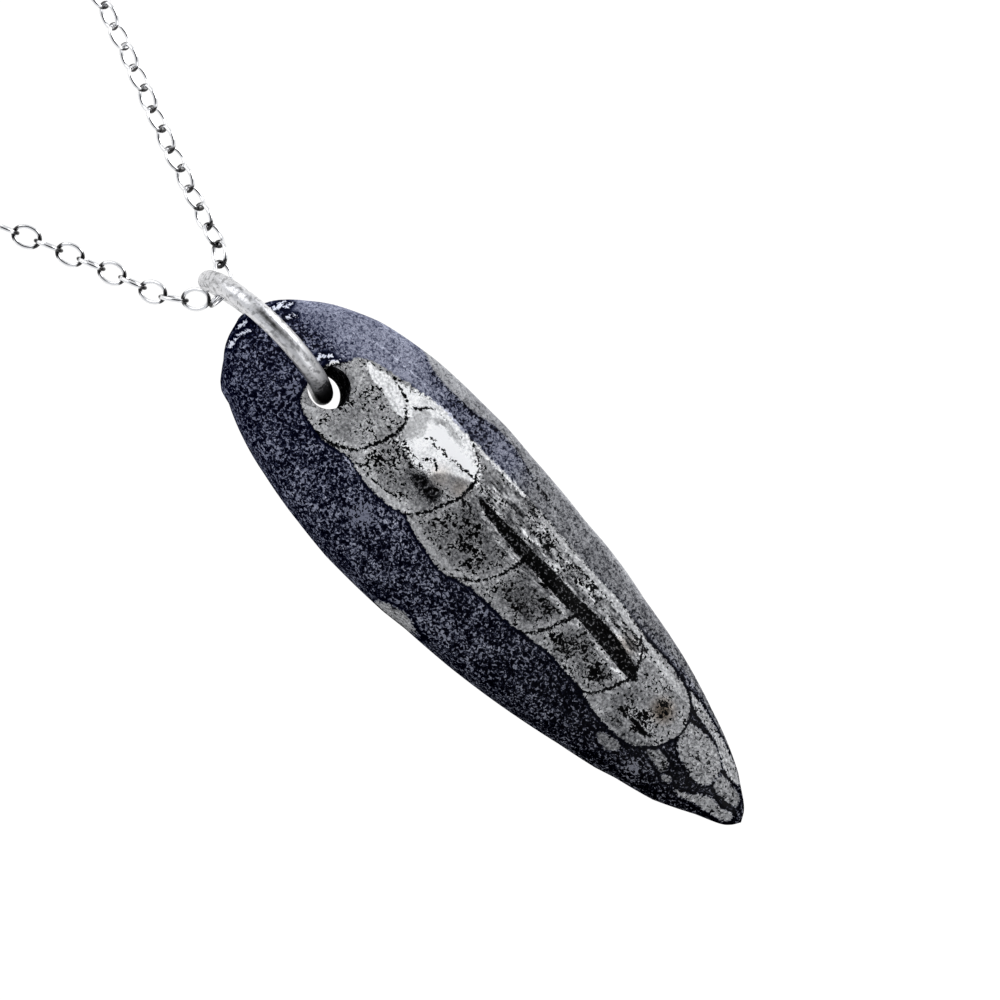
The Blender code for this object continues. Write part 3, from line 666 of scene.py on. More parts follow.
def coil_path():
    """Two flat layers of turns: in along the surface, then out on top of them."""
    half = COIL_TURNS * COIL_PITCH / 2
    outer, inner = COIL_MID_RADIUS + half, COIL_MID_RADIUS - half
    count = round(COIL_TURNS * COIL_STEPS)
    share = np.arange(2 * count + 1) / count
    turn = COIL_START + share * COIL_TURNS * math.tau
    radius = outer + (inner - outer) * np.minimum(share, 2.0 - share)
    height = CHAIN_WIDTH / 2 + COIL_CLEARANCE + COIL_PITCH * fade(share, *COIL_CLIMB)
    x, y = COIL_AT[0] + radius * np.cos(turn), COIL_AT[1] + radius * np.sin(turn)
    return np.stack([x, y, height], 1)


def chain_routes():
    """Where the long and the short run of chain lie, in mm, from the crossing link on."""
    turns = coil_path()
    right = smooth_curve([FIRST_RIGHT, *STRAND_RIGHT], 10)
    lead = smooth_curve([STRAND_RIGHT[-1], LEAD_AT, turns[0], turns[2]], 8)[:-8]
    tail = smooth_curve([turns[-3], turns[-1], TAIL_AT, *STRAND_TAIL], 8)[8:]
    long_route = np.vstack([right[:-1], lead[:-1], turns[:-1], tail])
    short_route = smooth_curve([FIRST_LEFT, *STRAND_LEFT], 10)
    return resample(long_route, ROUTE_STEP), resample(short_route, ROUTE_STEP)


def keep_first_link(obj):
    body = bmesh.new()
    body.from_mesh(obj.data)
    body.verts.ensure_lookup_table()
    bmesh.ops.delete(body, geom=body.verts[LINK_STEPS * WIRE_SIDES :], context="VERTS")
    body.to_mesh(obj.data)
    body.free()


class PENDANT_OT_chain(bpy.types.Operator):
    """Thread the links of the two runs of chain, and the one that passes through the jump ring"""

    bl_idname = "pendant.chain"
    bl_label = "Chain"

    def execute(self, context):
        settings = context.scene.pendant_chain
        mat = polished_silver(settings.colour)
        long_route, short_route = chain_routes()
        long_chain = make_links("chain_long", long_route, mat, settings, RIGHT_ROLL, 0.0)
        dress(long_chain, "silver", "chain_right", "chain_coil", "chain_tail")
        short_chain = make_links("chain_short", short_route, mat, settings, LEFT_ROLL, LEFT_ROLL)
        dress(short_chain, "silver", "chain_left")
        # The crossing link is the first of a run that sets off across the ring
        ahead = (Vector(FIRST_RIGHT) - Vector(FIRST_LEFT)).normalized() * CHAIN_WIDTH
        run = np.array([CROSSING_AT, Vector(CROSSING_AT) + ahead])
        crossing = make_links("crossing_link", run, mat, settings, CROSSING_ROLL)
        keep_first_link(crossing)
        dress(crossing, "silver", "threaded_link")
        return {"FINISHED"}


# Clasp and small rings


def tube_mesh(name, path, radii, sides, closed, normal=None):
    """Round tube along points in mm with a radius at each, closed on itself or capped. normal
    is the path's plane, where its points don't give it."""
    path = np.array(path, float)
    count = len(path)
    if closed:
        tangents = np.roll(path, -1, 0) - np.roll(path, 1, 0)
    else:
        tangents = np.gradient(path, axis=0)
    tangents /= np.linalg.norm(tangents, axis=1)[:, None]
    if normal is None:
        normal = np.cross(path[count // 4] - path[0], path[count // 2] - path[0])
    turns = np.linspace(0.0, math.tau, sides, endpoint=False)[:, None]
    rings = []
    for p, t, r in zip(path, tangents, radii):
        other = np.cross(t, normal)
        other /= np.linalg.norm(other)
        rings.append(p + r * (np.cos(turns) * other + np.sin(turns) * np.cross(other, t)))
    faces = []
    for i in range(count if closed else count - 1):
        j = (i + 1) % count
        for k in range(sides):
            m = (k + 1) % sides
            faces.append((i * sides + k, i * sides + m, j * sides + m, j * sides + k))
    if not closed:
        faces.append(tuple(range(sides))[::-1])
        faces.append(tuple((count - 1) * sides + k for k in range(sides)))
    return faced_mesh(name, np.vstack(rings), faces)


def arc_points(centre, radius, start, end, count, upright=False):
    turns = np.linspace(start, end, count)
    flat = np.stack([np.cos(turns), np.sin(turns), 0.0 * turns], 1) * radius
    if upright:
        flat = flat[:, [0, 2, 1]]
    return np.array(centre) + flat


class PENDANT_OT_clasp(bpy.types.Operator):
    """Make the spring ring clasp, its bolt and the small rings on both sides of it"""

    bl_idname = "pendant.clasp"
    bl_label = "Clasp"

    def execute(self, context):
        mat = polished_silver(context.scene.pendant_chain.colour)
        start, end = CLASP_OPENING

        def tube(name, path, radii, sides, closed, normal=None):
            return new_object(name, tube_mesh(name, path, radii, sides, closed, normal), mat)

        path = arc_points(CLASP_AT, CLASP_RADIUS, end, start + math.tau, 97)
        radii = np.full(len(path), CLASP_WIRE / 2)
        radii[[0, -1]] -= CLASP_TAPER
        body = tube("spring_clasp", path, radii, 20, False)
        eyelet_x = CLASP_AT[0] - CLASP_RADIUS - CLASP_WIRE / 2 - EYELET_RADIUS
        loop = arc_points((eyelet_x, *CLASP_AT[1:]), EYELET_RADIUS, 0.0, math.tau, 49)[:-1]
        combine(body, tube("eyelet", loop, [EYELET_WIRE / 2] * 48, 14, True), "UNION")
        slack = GAP / CLASP_RADIUS
        bar = arc_points(CLASP_AT, CLASP_RADIUS, start + slack, end - slack, 25)
        bolt = tube("spring_bolt", bar, [BOLT_WIRE / 2] * 25, 16, False)
        turn = (start + end) / 2
        out = np.array([math.cos(turn), math.sin(turn), 0.0])
        rises, radii = np.array(KNOB).T
        stem = CLASP_AT + (CLASP_RADIUS + rises[:, None]) * out
        combine(bolt, tube("knob", stem, radii, 16, False, (0.0, 0.0, 1.0)), "UNION")
        pieces = [body, bolt]
        rise = SMALL_RING_RADIUS + SMALL_RING_WIRE / 2
        radii = np.full(64, SMALL_RING_WIRE / 2)
        radii[12] -= SMALL_RING_SEAM  # where the ring's ends meet
        for name, x in (
            ("tail_ring", eyelet_x - SMALL_RING_RADIUS),
            ("catch_ring", CLASP_AT[0] + CLASP_RADIUS + GAP),
        ):
            loop = arc_points((x, CLASP_AT[1], rise), SMALL_RING_RADIUS, 0.0, math.tau, 65, True)
            pieces.append(tube(name, loop[:-1], radii, 16, True))
        for piece, node in zip(pieces, ("clasp_body", "clasp_bolt", "clasp_ring", "end_ring")):
            dress(piece, "silver", node)
        declare_chains(*pieces)
        return {"FINISHED"}


def declare_chains(body, bolt, clasp_ring, end_ring):
    """Each run of the chain's route, its length and the pieces at its end: worked out here, and not
    kept or used.
    """
    ends = (("chain_long", [clasp_ring, body, bolt]), ("chain_short", [end_ring]))
    for (name, with_pieces), route in zip(ends, chain_routes()):
        route = route * MM
        length = np.linalg.norm(np.diff(route, axis=0), axis=1).sum()
        tuple(route[0])
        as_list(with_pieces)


# Stone


def stone_height(x):
    """Thickness on the spine at each station."""
    to_tip = np.maximum(0.0, (x - THICK_AT) / (HALF_OUTLINE[-1][0] - THICK_AT))
    to_end = np.maximum(0.0, (x - THICK_AT) / (HALF_OUTLINE[0][0] - THICK_AT))
    return THICK - LOSS_TO_TIP * to_tip**2 - LOSS_TO_END * to_end**2


def front_share(depth, reach):
    """Height of the front as a share of the thickness, depth mm in from the outline."""
    crown_at = 1 - (1 - SHOULDER / reach) ** 2
    shoulder = np.clip((SHOULDER_RISE - crown_at) / (1 - crown_at), 0.0, 1.0)
    bend = np.sqrt(np.maximum(0.0, 1 - (1 - np.minimum(depth, SHOULDER) / SHOULDER) ** 2))
    crown = 1 - (1 - depth / reach) ** 2
    return WALL + (1 - WALL) * (shoulder * bend + (1 - shoulder) * crown)


def stone_mesh(step):
    """Loops from the middle of the flat back, round the wall and over the front to the spine."""
    half = smooth_curve([(x, w) for x, w in HALF_OUTLINE], 40)
    half[0, 1] = half[-1, 1] = 0.0
    half = resample(half, step)
    x, width = half.T
    upper, lower = (
        np.stack([x, width + along(table, x) * np.minimum(1, width / 2)], 1)
        for table in (UNEVEN_UPPER, UNEVEN_LOWER)
    )
    outline = np.vstack([upper, lower[-2:0:-1] * (1, -1)])
    spine_x = np.clip(outline[:, 0], *SPINE)
    reach = np.hypot(outline[:, 0] - spine_x, outline[:, 1])

    lean_from = SPINE[1] - TIP_SHIFT_RUN

    def loop(inset, height):
        x = outline[:, 0] + (spine_x - outline[:, 0]) * inset / reach
        y = outline[:, 1] * (1 - inset / reach)
        lean = np.clip((x - lean_from) / (HALF_OUTLINE[-1][0] - lean_from), 0.0, 1.0)
        return np.stack([x, y + TIP_SHIFT * lean**2, height(x)], 1)

    loops = []
    for share in (1.0, 0.8, 0.6, 0.4, 0.2, 0.0):
        inset = BACK_BEVEL + (reach - BACK_BEVEL) * share
        loops.append(loop(inset, lambda x: 0.0 * x))
    for turn in np.radians((15.0, 30.0, 45.0, 60.0, 75.0, 90.0)):
        inset = BACK_BEVEL * (1 - np.sin(turn)) + 0.0 * reach
        rise = BACK_BEVEL * (1 - np.cos(turn))
        loops.append(loop(inset, lambda x, rise=rise: rise + 0.0 * x))
    for share in (0.25, 0.5, 0.75, 1.0):
        loops.append(loop(0.0 * reach, lambda x, share=share: (
            BACK_BEVEL + (WALL * stone_height(x) - BACK_BEVEL) * share
        )))
    edge = SHOULDER * (1 - np.cos(np.radians((5, 10, 16, 22, 29, 36, 44, 52, 60, 68, 76, 84))))
    rows = round((max(width for _, width in HALF_OUTLINE) - edge[-1]) / step)
    for k in range(len(edge) + rows):
        depth = edge[k] + 0.0 * reach if k < len(edge) else (
            edge[-1] + (reach - edge[-1]) * (k - len(edge) + 1) / rows
        )
        share = front_share(depth, reach)
        loops.append(loop(depth, lambda x, share=share: share * stone_height(x)))

    count = len(outline)
    corners = np.vstack(loops)
    ring = np.arange(count)
    faces = []
    for row in range(len(loops) - 1):
        low, high = row * count + ring, (row + 1) * count + ring
        faces.append(np.stack([low, high, np.roll(high, -1), np.roll(low, -1)], 1))
    return corners, np.vstack(faces)


def wear(corners):
    """Move the front's corners for the hole's worn rim, the flaked edge and the hand polish."""
    x, y, z = corners.T
    top = np.clip((height_share(corners) - WALL - 0.02) / 0.08, 0.0, 1.0)
    rim = np.hypot(x - HOLE_AT[0], y - HOLE_AT[1]) - HOLE_RADIUS
    waves = sum(np.sin(a * x + b * y + c) for a, b, c in POLISH_WAVES)
    z += (POLISH_DEPTH * waves - RIM_WEAR * np.clip(1 - rim / RIM_WIDTH, 0.0, 1.0) ** 2) * top
    flaked = stroke_distance(corners[:, :2], WHITE_CHIPS[:-2])
    scar = np.clip((flaked + FLAKE_WIDTH) / (FLAKE_WIDTH + 0.1), 0.0, 1.0)
    z -= FLAKE_DEPTH * scar * (z > FLAKE_FLOOR)


def height_share(corners):
    """0 on the flat back, 1 along the spine."""
    return np.clip(corners[:, 2] / stone_height(corners[:, 0]), 0.0, 1.0)


def inside_distance(spots, outline):
    """Distance to a closed outline through points in mm, positive inside."""
    loop = smooth_curve(outline, 6, closed=True)
    nearest = np.full(len(spots), np.inf)
    inside = np.zeros(len(spots), bool)
    for a, b in zip(loop, np.roll(loop, -1, 0)):
        run = b - a
        t = np.clip(((spots - a) @ run) / (run @ run), 0.0, 1.0)
        nearest = np.minimum(nearest, np.hypot(*(spots - a - t[:, None] * run).T))
        crosses = (a[1] > spots[:, 1]) != (b[1] > spots[:, 1])
        with np.errstate(divide="ignore", invalid="ignore"):
            at = a[0] + (spots[:, 1] - a[1]) / (b[1] - a[1]) * run[0]
        inside ^= crosses & (spots[:, 0] < at)
    return np.where(inside, nearest, -nearest)


def passes(spots, curves):
    """Each short stretch of some strokes: the spots' distance from its middle line, negative
    to its right, and its half width beside them."""
    for points in curves:
        path = smooth_curve(points, 6)
        for a, b in zip(path, path[1:]):
            run, away = b[:2] - a[:2], spots - a[:2]
            t = np.clip((away @ run) / (run @ run), 0.0, 1.0)
            side = np.where(run[0] * away[:, 1] < run[1] * away[:, 0], -1.0, 1.0)
            yield side * np.hypot(*(away - t[:, None] * run).T), a[2] + (b[2] - a[2]) * t


def stroke_distance(spots, curves):
    """How far inside the nearest of some strokes of varying half width each spot is."""
    deepest = np.full(len(spots), -np.inf)
    for across, half_width in passes(spots, curves):
        deepest = np.maximum(deepest, half_width - np.abs(across))
    return deepest


def line_fields(spots, curves):
    """For thin lines: distance across the nearest one, signed and not, and its half width."""
    fields = np.zeros((3, len(spots)))
    fields[1] = np.inf
    for across, half_width in passes(spots, curves):
        gap = np.abs(across)
        fields = np.where(gap < fields[1], (across, gap, half_width), fields)
    return fields.T


def spot_amount(spots, places):
    amount = np.zeros(len(spots))
    for x, y, radius, strength in places:
        away = np.hypot(spots[:, 0] - x, spots[:, 1] - y) / radius
        amount = np.maximum(amount, strength * np.clip(1.4 - away, 0.0, 1.0))
    return amount


def along(curve, x):
    """Value of a tone curve at each station."""
    return np.interp(x, *np.array(curve, float).T)


def fade(value, low, high):
    """Smooth step from 0 at low to 1 at high."""
    t = np.clip((value - low) / (high - low), 0.0, 1.0)
    return t * t * (3 - 2 * t)


def blend(a, b, share):
    return a + (b - a) * share


def ground_tones(spots, reflection_band):
    """Lightness of the matrix, with the softboxes' reflection on the +Y side painted in, how
    strongly its grain shows, and how far from blue it is.
    """
    x, y = spots.T
    shore = np.interp(x, *np.array(HALF_OUTLINE).T) - np.abs(y)  # mm in from the outline
    # The ground above the shell is paler with a painted reflection of the softboxes, and both
    # darken to the -Y edge
    upper = fade(y - along(UPPER_EDGE, x), -0.8, 1.8)
    light = blend(along(MATRIX_TONE, x), along(UPPER_REFLECTION_TONE, x + 1.2 * (y - 5)), upper)
    light -= 0.12 * fade(shore, 0.6, 0.0) * (y < 0)
    # The band along the +Y side: a painted reflection of the key softbox on the shoulder, palest
    # along its rim as a painted highlight, with a dark line beside it
    edge = fade(shore, 0.9, 0.2) * (y > 0)
    ground = blend(along(REFLECTION_BAND_TONE, x), along(RIM_HIGHLIGHT_TONE, x), edge)
    in_reflection = fade(reflection_band, -0.05, 0.15)
    light = blend(light, ground, in_reflection)
    light -= 0.3 * fade(np.abs(reflection_band + 0.05), 0.22, 0.0) * fade(x, -12, -9) * fade(x, 3, 1)
    contrast = np.interp(light, (0.0, 0.25, 0.4, 0.5, 0.7), (0.24, 0.25, 0.16, 0.11, 0.08))
    neutral = np.maximum(0.9 * upper * fade(x, -4, 1), 0.9 * in_reflection)
    neutral = np.maximum(neutral, np.interp(x, (-22, -5, 10, 20), (0.0, 0.3, 0.5, 0.65)))
    return np.stack([light, contrast, neutral], 1)


def fossil_tones(spots, inside, siphuncle, near):
    """Lightness of the chambers, the share of dark specks in them, and the streaks above the
    siphuncle."""
    x, y = spots.T
    chamber = x + 0.15 * (y - 1.5) ** 2  # the same all along a septum
    # Pale rims, palest at the foot of the first two chambers
    rim = 1 - fade(np.minimum(inside, near + 0.3), 0.55, 1.25)
    foot = np.maximum(
        fade(x, -9.2, -9.8) * fade(y, 0.5, -1.0), fade(x, -4.2, -5.2) * fade(y, -1.2, -2.0)
    )
    light = blend(along(CHAMBER_TONE, chamber), blend(0.6, 0.72, foot), rim)
    specks = blend(along(CHAMBER_SPECKS, chamber), 0.05, rim)
    # The strip above the siphuncle, then the pale lining beside it
    above = fade(y, 1.8, 2.1) * fade(x, -2.6, -1.8) * fade(x, 15.0, 14.2)
    beside = fade(-siphuncle, 0.8, 0.35) * fade(x, -2.0, -1.0) * fade(x, 15.0, 14.2)
    for share, tone, speck_share in ((above, 0.57, 0.24), (beside, 0.6, 0.03)):
        light, specks = blend(light, tone, share), blend(specks, speck_share, share)
    dark = spot_amount(spots, DARK_SPOTS)
    return np.stack([light - 0.1 * dark, specks + 0.4 * dark, np.maximum(above, beside)], 1)


def toned(spots, light, shades):
    """Lightness after each (lightness, outline) is laid over it."""
    for tone, outline in shades:
        light = blend(light, tone, fade(inside_distance(spots, outline), -0.06, 0.06))
    return light


def mark_stone(mesh):
    """Store, at each corner, where it lies among the markings."""
    corners = np.zeros(len(mesh.vertices) * 3)
    mesh.vertices.foreach_get("co", corners)
    corners = corners.reshape(-1, 3) / MM
    spots = corners[:, :2].copy()
    inside, siphuncle = inside_distance(spots, SHELL), stroke_distance(spots, [SIPHUNCLE])
    septa = line_fields(spots, SEPTA)
    # The band along the +Y side where the softbox's reflection is painted
    reflection_band = line_fields(spots, [[(*p, 0.0) for p in REFLECTION_BAND_EDGE]])[:, 0]
    drilled = np.hypot(*(spots - HOLE_AT).T) - HOLE_RADIUS < 0.01
    lumps = [inside_distance(spots, outline) for _, outline in LUMPS]
    veins = [stroke_distance(spots, [stroke]) for _, stroke in VEINS]
    vein_light = np.array([tone for tone, _ in VEINS])[np.argmax(veins, 0)]
    lump_light = np.array([tone for tone, _ in LUMPS])[np.argmax(lumps, 0)]
    fields = {
        "ground": ground_tones(spots, reflection_band),
        "fossil": fossil_tones(spots, inside, siphuncle, septa[:, 1]),
        "shell": (inside, siphuncle, np.max(veins, 0)),
        "septa": septa,
        "cracks": line_fields(spots, CRACKS),
        "patches": [inside_distance(spots, patch) for patch in (CALCITE, WHITE_PATCH, BLACK_PATCH)],
        "lumps": (
            np.max(lumps, 0),
            np.max([inside_distance(spots, outline) for outline in CRESCENTS], 0),
            stroke_distance(spots, WHITE_CHIPS),
        ),
        "spots": (
            height_share(corners) * ~drilled, spot_amount(spots, PALE_SPOTS),
            spot_amount(spots, RUST_SPOTS),
        ),
        "tones": (toned(spots, np.full(len(spots), 1.0), CALCITE_SHADES), vein_light, lump_light),
    }
    for name, values in fields.items():
        values = np.array(values)
        stored = mesh.attributes.new(name, "FLOAT_VECTOR", "POINT")
        stored.data.foreach_set("vector", (values if values.shape[1] == 3 else values.T).ravel())


def polished_limestone(settings):
    """Polished black orthoceras limestone: near-black fine mud full of calcite dust, with the
    shell and its chambers replaced by grey and white calcite that takes the same polish."""
    mat, tree = new_material("polished_fossil_limestone")
    add = partial(add_node, tree)
    place = add("ShaderNodeTexCoord").outputs["Object"]
    fields = {}
    for name in (
        "ground", "fossil", "shell", "septa", "cracks", "patches", "lumps", "spots", "tones",
    ):
        stored = add("ShaderNodeAttribute", attribute_name=name).outputs["Vector"]
        fields[name] = add("ShaderNodeSeparateXYZ", {0: stored}).outputs
    ground_light, ground_contrast, neutral = fields["ground"]
    fossil_light, speck_share, streaky = fields["fossil"]
    inside, siphuncle, vein = fields["shell"]
    calcite, white, black = fields["patches"]
    lump, crescent, chip = fields["lumps"]
    height, pale, rust = fields["spots"]
    calcite_light, vein_light, lump_light = fields["tones"]

    # Grain: calcite dust and flecks of 0.1 to 0.3 mm, about zero, then thin lines that run
    # where a noise crosses its middle
    drawn_out = add("ShaderNodeMapping", {"Vector": place, "Scale": (0.25, 1.0, 1.0)})
    noises = [
        add("ShaderNodeTexNoise", {
            "Vector": where, "Scale": scale, "Detail": detail, "Roughness": roughness,
            "Distortion": distortion,
        })
        for where, scale, detail, roughness, distortion in (
            (place, 4700.0, 1.5, 0.5, 0.9), (place, 5200.0, 2.0, 0.6, 0.3),
            (place, 700.0, 3.0, 0.6, 0.5), (drawn_out, 3000.0, 2.0, 0.5, 0.6),
            (place, 3200.0, 0.0, 0.5, 1.5), (place, 1500.0, 3.0, 0.6, 2.2),
        )
    ]
    worms, dust, cloud, streaks = (
        add("ShaderNodeMapRange", {
            "Value": noise, "From Min": 0.44, "From Max": 0.56, "To Min": -1.0,
        }, clamp=False)
        for noise in noises[:4]
    )
    lines = []
    for noise, reach, middle, outside in (
        (noises[4], 0.05, 1.0, -0.6), (noises[5], 0.014, -0.3, 0.0),
    ):
        off = add("ShaderNodeMath", {0: noise, 1: 0.5}, operation="SUBTRACT")
        gap = add("ShaderNodeMath", {0: off}, operation="ABSOLUTE")
        lines.append(add("ShaderNodeMapRange", {
            "Value": gap, "From Max": reach, "To Min": middle, "To Max": outside,
        }))
    strands, seams = lines

    # Where each marking lies, its edge made ragged by the grain
    edges, masks = {}, {}
    for name, field, ragged, start, full, ease in (
        ("pale", pale, 0.2, 0.4, 0.6, "LINEAR"),
        ("lump", lump, 0.03, -0.05, 0.08, "SMOOTHSTEP"),
        ("crescent", crescent, 0.06, -0.05, 0.08, "LINEAR"),
        ("calcite", calcite, 0.1, -0.1, 0.15, "SMOOTHSTEP"),
        ("black", black, 0.14, -0.08, 0.08, "LINEAR"),
        ("vein", vein, 0.03, -0.06, 0.06, "SMOOTHSTEP"),
        ("white", white, 0.08, -0.04, 0.04, "LINEAR"),
        ("siphuncle", siphuncle, 0.025, -0.05, 0.03, "SMOOTHSTEP"),
        ("shell", inside, 0.03, -0.04, 0.04, "SMOOTHSTEP"),
        ("scar", chip, 0.05, -0.3, -0.12, "LINEAR"),
        ("chip", chip, 0.05, -0.03, 0.04, "LINEAR"),
    ):
        edges[name] = add("ShaderNodeMath", {
            0: worms, 1: ragged, 2: field,
        }, operation="MULTIPLY_ADD")
        masks[name] = add("ShaderNodeMapRange", {
            "Value": edges[name], "From Min": start, "From Max": full,
        }, interpolation_type=ease)

    # Lightness of each kind of stone: a grain laid over a tone, more than once for some
    tones = {}
    streak_amount = add("ShaderNodeMath", {0: streaky, 1: 0.1}, operation="MULTIPLY")
    for name, layers, tone in (
        ("matrix grain", ((cloud, 0.22), (worms, 0.8)), strands),
        ("lump", ((dust, 0.07),), lump_light),
        ("lump clouds", ((cloud, 0.5),), worms),
        ("chamber", ((cloud, 0.04), (dust, 0.06), (streaks, streak_amount)), fossil_light),
        ("crystal", ((cloud, 0.03), (seams, 1.0), (dust, 0.035)), calcite_light),
        ("black", ((worms, 0.12),), 0.08),
        ("vein", ((dust, 0.06),), vein_light),
        ("wall", ((worms, 0.1),), 0.08),
    ):
        for grain, amount in layers:
            tone = add("ShaderNodeMath", {0: grain, 1: amount, 2: tone}, operation="MULTIPLY_ADD")
        tones[name] = tone
    matrix = add("ShaderNodeMath", {
        0: tones["matrix grain"], 1: ground_contrast, 2: ground_light,
    }, operation="MULTIPLY_ADD")
    lump_speck = add("ShaderNodeMapRange", {
        "Value": tones["lump clouds"], "From Min": -2.3, "From Max": -1.6, "To Min": 0.1,
    })
    lump_grain = add("ShaderNodeMath", {0: tones["lump"], 1: lump_speck}, operation="MULTIPLY")
    siphuncle_fleck = add("ShaderNodeMapRange", {
        "Value": dust, "From Min": 1.2, "From Max": 2.4, "To Max": 0.4,
    })

    # Dark specks in the hearts of the chambers
    speck_at = add("ShaderNodeMapRange", {
        "Value": speck_share, "From Max": 0.5, "To Min": -2.2, "To Max": 0.1,
    }, clamp=False)
    clustered = add("ShaderNodeMath", {0: cloud, 1: 0.8, 2: speck_at}, operation="MULTIPLY_ADD")
    over = add("ShaderNodeMath", {0: clustered, 1: worms}, operation="SUBTRACT")
    masks["speck"] = add("ShaderNodeMapRange", {
        "Value": over, "From Min": -0.15, "From Max": 0.2,
    }, interpolation_type="SMOOTHSTEP")

    # Thin dark lines, broken up by the grain: septa and cracks
    for name, bent, grain, broken, start, far, close, ease in (
        ("septa", 0.03, dust, -0.025, -0.05, 0.35, 0.2, "SMOOTHSTEP"),
        ("cracks", 0.0, worms, -0.05, -0.04, 0.3, 0.12, "LINEAR"),
    ):
        across, near, width = fields[name]
        middle = add("ShaderNodeMath", {0: worms, 1: bent, 2: across}, operation="MULTIPLY_ADD")
        off = add("ShaderNodeMath", {0: middle}, operation="ABSOLUTE")
        depth = add("ShaderNodeMath", {0: width, 1: off}, operation="SUBTRACT")
        ragged = add("ShaderNodeMath", {0: grain, 1: broken, 2: depth}, operation="MULTIPLY_ADD")
        line = add("ShaderNodeMapRange", {
            "Value": ragged, "From Min": start, "From Max": 0.02,
        }, interpolation_type=ease)
        ends = add("ShaderNodeMapRange", {"Value": near, "From Min": far, "From Max": close})
        masks[name] = add("ShaderNodeMath", {0: line, 1: ends}, operation="MULTIPLY")
    dark_lines = add("ShaderNodeMath", {0: masks["septa"], 1: masks["cracks"]}, operation="MAXIMUM")

    # Dark outlines just outside the lumps and the shell, the shell's fainter on pale ground
    gaps = {}
    for name, outside in (("lump", 0.09), ("shell", 0.05)):
        off = add("ShaderNodeMath", {0: edges[name], 1: outside}, operation="ADD")
        gaps[name] = add("ShaderNodeMath", {0: off}, operation="ABSOLUTE")
    lump_line = add("ShaderNodeMapRange", {
        "Value": gaps["lump"], "From Min": 0.1, "From Max": 0.03, "To Max": 0.95,
    })
    shell_line = add("ShaderNodeMapRange", {
        "Value": gaps["shell"], "From Min": 0.13, "From Max": 0.04,
    }, interpolation_type="SMOOTHSTEP")
    on_dark = add("ShaderNodeMapRange", {
        "Value": ground_light, "From Min": 0.3, "From Max": 0.42, "To Min": 1.0, "To Max": 0.15,
    })
    rim_line = add("ShaderNodeMath", {0: shell_line, 1: on_dark}, operation="MULTIPLY")
    front = add("ShaderNodeMapRange", {"Value": height, "From Min": 0.1, "From Max": 0.18})

    # Lay them over each other: the fossil, the ground round it, then both on the sawn wall
    stack = {}
    for name, below, layers in (
        ("fossil", tones["chamber"], (
            (masks["speck"], 0.0), (masks["crescent"], lump_grain),
            (masks["calcite"], tones["crystal"]), (masks["black"], tones["black"]),
            (masks["vein"], tones["vein"]), (masks["white"], 1.0),
            (masks["siphuncle"], siphuncle_fleck), (dark_lines, 0.02),
        )),
        ("ground", matrix, (
            (masks["pale"], 0.48), (lump_line, 0.0), (masks["lump"], lump_grain),
            (masks["vein"], tones["vein"]),
        )),
    ):
        for mask, above in layers:
            below = add("ShaderNodeMix", {0: mask, 2: below, 3: above})
        stack[name] = below
    face = add("ShaderNodeMix", {0: masks["shell"], 2: stack["ground"], 3: stack["fossil"]})
    face = add("ShaderNodeMix", {0: rim_line, 2: face, 3: 0.03})
    face = add("ShaderNodeMix", {0: front, 2: tones["wall"], 3: face})
    face = add("ShaderNodeMix", {0: masks["scar"], 2: face, 3: 0.04})
    face = add("ShaderNodeMix", {0: masks["chip"], 2: face, 3: 0.97})

    # Lightness to colour: the matrix is bluer than the calcite
    for share in (masks["shell"], masks["lump"]):
        neutral = add("ShaderNodeMath", {0: neutral, 1: share}, operation="MAXIMUM")
    cast = add("ShaderNodeMapRange", {
        "Value": neutral, "To Min": settings.blue_cast, "To Max": 0.1 * settings.blue_cast,
    })
    red = add("ShaderNodeMath", {0: face, 1: 0.0}, operation="MAXIMUM")
    green = add("ShaderNodeMath", {0: cast, 1: 0.15, 2: red}, operation="MULTIPLY_ADD")
    blue = add("ShaderNodeMath", {0: cast, 1: red}, operation="ADD")
    display = add("ShaderNodeCombineColor", {0: red, 1: green, 2: blue})
    linear = add("ShaderNodeGamma", {"Color": display, "Gamma": 2.2})
    stone = add("ShaderNodeMix", {
        0: 1.0, 6: linear, 7: settings.calcite_colour,
    }, data_type="RGBA", blend_type="MULTIPLY", clamp_result=True).outputs[2]
    rusted = add("ShaderNodeMix", {
        0: rust, 6: stone, 7: settings.rust_colour,
    }, data_type="RGBA", blend_type="MULTIPLY").outputs[2]

    # Relief: the lines sit a hair below the polish; the wall is left as it was sawn
    sunk = add("ShaderNodeMath", {0: dark_lines, 1: shell_line}, operation="MAXIMUM")
    relief = add("ShaderNodeMath", {0: sunk, 1: -2.0, 2: dust}, operation="MULTIPLY_ADD")
    bump = add("ShaderNodeBump", {"Height": relief, "Strength": 0.15, "Distance": 0.00002})
    sawn = add("ShaderNodeBsdfDiffuse", {"Color": rusted, "Roughness": 0.5})
    polished = add("ShaderNodeBsdfPrincipled", {
        "Base Color": rusted, "Roughness": 0.3, "Normal": bump, "IOR": 1.5,
        "Specular IOR Level": 0.06,
    })
    polish = add("ShaderNodeMapRange", {"Value": height, "From Min": 0.72, "From Max": 0.95})
    surface = add("ShaderNodeMixShader", {0: polish, 1: sawn, 2: polished})
    add("ShaderNodeOutputMaterial", {"Surface": surface})
    return mat


